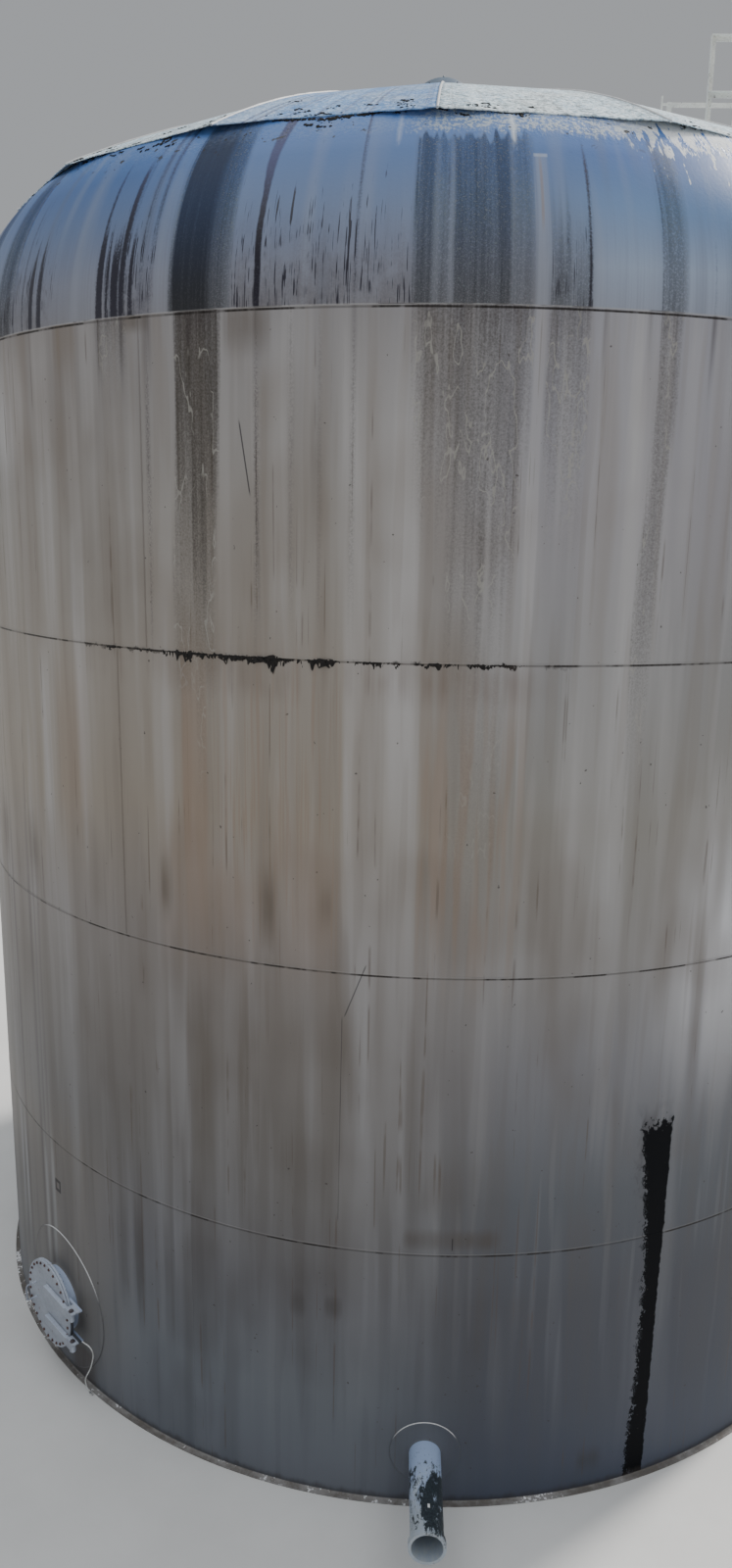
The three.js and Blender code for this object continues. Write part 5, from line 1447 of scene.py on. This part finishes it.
class TANK_OT_ladder(TankOperator, bpy.types.Operator):
    """Build the ladder on the shell and over the knuckle, with its brackets"""

    bl_idname = "tank.ladder"
    bl_label = "Ladder"

    def execute(self, context):
        sizes, a = context.scene.tank_shell, context.scene.tank_access
        depth, width, foot, joint = 0.064, 0.010, 0.320, SHELL_TOP - 0.06
        middle = a.ladder_out + depth / 2
        sides = [a.shift - a.half_width, a.shift + a.half_width]
        bracket_heights = (0.7, 3.0, 5.4, 7.8, 9.5)
        y, parts = -(sizes.radius + middle), []
        for x in sides:
            left = x - width / 2
            parts.append(block((left, y - depth / 2, foot), (left + width, y + depth / 2, joint - 0.0003)))
            face = -math.sqrt(sizes.radius**2 - x**2)
            for z in bracket_heights:
                parts.append(block((left - 0.011, y, z - 0.025), (left - 0.001, face + 0.003, z + 0.025)))
                parts.append(block((x - 0.040, face - 0.006, z - 0.045), (x + 0.020, face + 0.003, z + 0.045)))
        self.piece(a, "ladder_bars", parts, ["ladder"])
        heights = np.arange(foot + 0.15, joint - 0.04, a.spacing)
        self.piece(a, "ladder_rungs", [self.rung(a, sides, y, z) for z in heights])
        self.over_knuckle(sizes, a, sides, middle, depth, width, joint)
        return {"FINISHED"}

    def piece(self, a, name, parts, nodes=()):
        build(name, [(turn(p, a.azimuth), f) for p, f in parts], "rail", stands_for=nodes,
              bevel=0.0015 if nodes else 0.0)

    def rung(self, a, sides, y, z):
        x = np.linspace(sides[0] - 0.007, sides[1] + 0.007, 8)
        return rod(np.stack([x, np.full(8, y), np.full(8, z)], 1), a.rung / 2, 14)

    def over_knuckle(self, sizes, a, sides, middle, depth, width, joint):
        """Side bars as a flat section carried up and over an arc about the knuckle's own centre."""
        centre = -(sizes.radius - sizes.knuckle)
        radius = sizes.knuckle + middle
        angle = np.radians(np.linspace(0, 46, 40))
        path_y = np.concatenate([[centre - radius], centre - radius * np.cos(angle)])[:, None]
        path_z = np.concatenate([[joint], SHELL_TOP + radius * np.sin(angle)])[:, None]
        square = np.concatenate([[0.0], angle])[:, None]
        corner_r = np.array([[-1, -1, 1, 1]]) * depth / 2
        y, z = path_y - corner_r * np.cos(square), path_z + corner_r * np.sin(square)
        parts = []
        for x in sides:
            corner_x = np.broadcast_to(x + np.array([-1, 1, 1, -1]) * width / 2, y.shape)
            parts.append(carry(np.stack([corner_x, y, z], -1)))
            for t in np.radians([8, 22, 36]):
                near, far = sizes.knuckle - 0.004, radius
                quad = [[x - width / 2 - 0.011, centre - r * math.cos(t) + s * math.sin(t),
                         SHELL_TOP + r * math.sin(t) + s * math.cos(t)]
                        for r, s in ((near, -0.025), (near, 0.025), (far, 0.025), (far, -0.025))]
                parts.append(raised(quad, [0.010, 0, 0]))
        self.piece(a, "ladder_top_bars", parts, ["ladder_top"])
        turns = np.arange(math.radians(3), math.radians(44), a.spacing / radius)
        self.piece(a, "ladder_top_rungs", [
            self.rung(a, sides, centre - radius * math.cos(t), SHELL_TOP + radius * math.sin(t)) for t in turns])


class TANK_OT_landing(TankOperator, bpy.types.Operator):
    """Build the hatch on the crown and finish the guard rails beside it"""

    bl_idname = "tank.landing"
    bl_label = "Hatch and rails"

    def execute(self, context):
        sizes, roof, a = context.scene.tank_shell, context.scene.tank_roof, context.scene.tank_access
        lean = float(crown_turn(roof, a.hatch_along))
        seat = float(crown_height(roof, sizes, a.hatch_along)) + sizes.knuckle_plate
        place = pointing(turn([a.shift, -a.hatch_along, seat], a.azimuth),
                         turn([0, -math.sin(lean), math.cos(lean)], a.azimuth))
        neck, rim = a.hatch, a.hatch + 0.02
        turned("hatch_coaming", [(neck - 0.006, -0.03), (neck + 0.014, -0.03), (neck + 0.012, -0.004), (neck, 0.014),
                                 (neck, 0.15), (neck - 0.006, 0.15)], place, 96, "rail", "hatch_neck")
        turned("hatch_plate", [(0, 0.1503), (rim - 0.002, 0.1503), (rim, 0.152), (rim, 0.158), (rim - 0.003, 0.1603),
                               (0, 0.1603)], place, 96, "rail", "hatch_lid")
        for name in ("guard_rail_near", "guard_rail_far"):
            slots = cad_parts[name].data.materials
            slots.clear()
            slots.append(paint("rail"))
        return {"FINISHED"}


CORD_ROUTE = np.array([
    [-3.1331, -3.9279, 0.639], [-3.110, -3.9435, 0.636], [-3.072, -3.952, 0.618], [-3.042, -3.957, 0.584],
    [-3.029, -3.949, 0.526], [-3.040, -3.929, 0.450], [-3.084, -3.885, 0.300], [-3.134, -3.852, 0.190],
    [-3.156, -3.826, 0.115], [-3.152, -3.818, 0.060], [-3.140, -3.821, 0.018], [-3.128, -3.831, 0.009],
    [-3.114, -3.845, 0.009],
])


def through(points, steps):
    """A smooth curve through points: centripetal Catmull-Rom, which on each span is a cubic whose end
    slopes come from the neighbouring points, weighted by the root of their distances."""
    p = np.concatenate([[2 * points[0] - points[1]], points, [2 * points[-1] - points[-2]]])
    d = np.sqrt(np.linalg.norm(np.diff(p, axis=0), axis=1))[:, None]
    d0, d1, d2 = d[:-2], d[1:-1], d[2:]
    p0, p1, p2, p3 = p[:-3], p[1:-2], p[2:-1], p[3:]
    t1 = ((p1 - p0) / d0 - (p2 - p0) / (d0 + d1) + (p2 - p1) / d1) * d1
    t2 = ((p2 - p1) / d1 - (p3 - p1) / (d1 + d2) + (p3 - p2) / d2) * d1
    t = np.linspace(0, 1, steps + 1)[None, :-1, None]
    a, b = 2 * p1 - 2 * p2 + t1 + t2, -3 * p1 + 3 * p2 - 2 * t1 - t2
    line = a[:, None] * t**3 + b[:, None] * t**2 + t1[:, None] * t + p1[:, None]
    return np.concatenate([line.reshape(-1, 3), points[-1:]])


class TANK_OT_cord(TankOperator, bpy.types.Operator):
    """Build the white cord on the lower hinge lug and its end fitting"""

    bl_idname = "tank.cord"
    bl_label = "Cord"

    def execute(self, context):
        m = context.scene.tank_manway
        line = through(CORD_ROUTE, 16)
        strands, lay = 18, 0.42
        angle = np.linspace(0, 2 * np.pi, strands, endpoint=False)[None]
        twist = 0.94 + 0.06 * np.cos(3 * angle - lay * np.arange(len(line))[:, None])
        cord = build("lug_cord", [rod(line, m.cord / 2, strands, (0.66, 0.75, 0.05), twist)], "cord",
                     stands_for=["cord"], sharp=180)
        heading = (line[-1] - line[-2]) * [1, 1, 0]
        heading /= np.linalg.norm(heading)
        start = line[-1] + 0.0006 * heading
        start[2] = CORD_ROUTE[-1, 2]
        sleeve = [(0, 0), (0.0075, 0), (0.0088, 0.002), (0.0088, 0.022), (0.0070, 0.025), (0.0070, 0.033),
                  (0.0088, 0.036), (0.0088, 0.057), (0.0070, 0.0595), (0, 0.0595)]
        end = turned("cord_ferrule", sleeve, pointing(start, heading), 24, "ferrule", "cord_fitting")
        through(CORD_ROUTE, 3).tolist()
        return {"FINISHED"}


class TANK_OT_stage(TankOperator, bpy.types.Operator):
    """Set the camera, the lights and the pale floor"""

    bl_idname = "tank.stage"
    bl_label = "Camera, light and floor"

    def execute(self, context):
        s, scene = context.scene.tank_stage, context.scene
        lens = bpy.data.cameras.new("Camera")
        lens.sensor_fit, lens.sensor_width, lens.sensor_height = "VERTICAL", 36, 36
        lens.lens, lens.clip_start, lens.clip_end = s.lens, 0.1, 1000
        scene.camera = self.put(bpy.data.objects.new("Camera", lens))
        aim = Matrix.Rotation(s.yaw, 3, "Z") @ Matrix.Rotation(-s.pitch, 3, "X") @ Matrix.Rotation(s.roll, 3, "Y")
        right, forward, up = (aim.col[k].copy() for k in range(3))
        place = Matrix((right, up, -forward)).transposed().to_4x4()
        place.translation = CAMERA_PLACE
        scene.camera.matrix_world = place
        scene.world = bpy.data.worlds.new("Studio")
        scene.world.use_nodes = True
        sky = scene.world.node_tree.nodes["Background"].inputs
        sky[0].default_value, sky[1].default_value = (0.93, 0.96, 1.0, 1.0), s.fill
        self.sun("Key", s.key, 9, (1.0, 0.97, 0.92), (0.569, 0.532, 0.627))
        self.sun("Top", s.top, 80, (0.92, 0.96, 1.0), (0.0, -0.15, 1.0))
        self.floor()
        return {"FINISHED"}

    def put(self, thing):
        bpy.context.scene.collection.objects.link(thing)
        return thing

    def sun(self, name, strength, spread, colour, toward):
        """A light far away in a direction, as wide as a spread in degrees."""
        light = bpy.data.lights.new(name, "SUN")
        light.energy, light.angle, light.color = strength, math.radians(spread), colour
        lamp = self.put(bpy.data.objects.new(name, light))
        lamp.rotation_mode = "QUATERNION"
        lamp.rotation_quaternion = Vector(toward).to_track_quat("Z", "Y")

    def floor(self):
        """A wide round floor just under the tank: rings of points at growing distances from a middle."""
        reach, spokes, drop = np.array([6.0, 12.0, 25.0, 60.0, 150.0, 400.0]), 96, -0.002
        points = around(np.arange(spokes)[:, None] * 360 / spokes, reach[None], drop).reshape(-1, 3)
        inner = np.arange(spokes) * len(reach)
        fan = np.stack([np.full(spokes, len(points)), inner, np.roll(inner, -1)], -1)
        rings = weave(spokes, len(reach), True, False)[:, ::-1]
        mesh = bpy.data.meshes.new("floor")
        mesh.from_pydata([*points.tolist(), (0.0, 0.0, drop)], [], [*fan.tolist(), *rings.tolist()])
        mesh.materials.append(paint("floor"))
        self.put(bpy.data.objects.new("floor", mesh))


class TANK_PT_panel(bpy.types.Panel):
    """Buttons and sizes of the tank"""

    bl_idname = "TANK_PT_panel"
    bl_label = "Storage tank"
    bl_space_type = "VIEW_3D"
    bl_region_type = "UI"
    bl_category = "Tank"

    def draw(self, context):
        column = self.layout.column(align=True)
        for operator in OPERATORS:
            column.operator(operator.bl_idname)
        for name, kind in GROUPS.items():
            box = self.layout.box()
            box.label(text=kind.__name__)
            for key in kind.__annotations__:
                box.prop(getattr(context.scene, name), key)


GROUPS = {
    "tank_shell": ShellSizes,
    "tank_roof": RoofSizes,
    "tank_manway": ManwaySizes,
    "tank_outlet": OutletSizes,
    "tank_access": AccessSizes,
    "tank_colours": TankColours,
    "tank_stage": StageSettings,
}
OPERATORS = (
    TANK_OT_stage, TANK_OT_cord, TANK_OT_shell, TANK_OT_knuckle, TANK_OT_crown, TANK_OT_welds,
    TANK_OT_growth, TANK_OT_vent, TANK_OT_manway, TANK_OT_outlet, TANK_OT_ladder, TANK_OT_landing,
)


def register():
    for cls in (*GROUPS.values(), *OPERATORS, TANK_PT_panel):
        bpy.utils.register_class(cls)
    for name, group in GROUPS.items():
        setattr(bpy.types.Scene, name, PointerProperty(type=group))


def unregister():
    for name in GROUPS:
        delattr(bpy.types.Scene, name)
    for cls in reversed((*GROUPS.values(), *OPERATORS, TANK_PT_panel)):
        bpy.utils.unregister_class(cls)


def main():
    register()
    for operator in OPERATORS:
        group, name = operator.bl_idname.split(".")
        getattr(getattr(bpy.ops, group), name)()


if __name__ == "__main__":
    main()
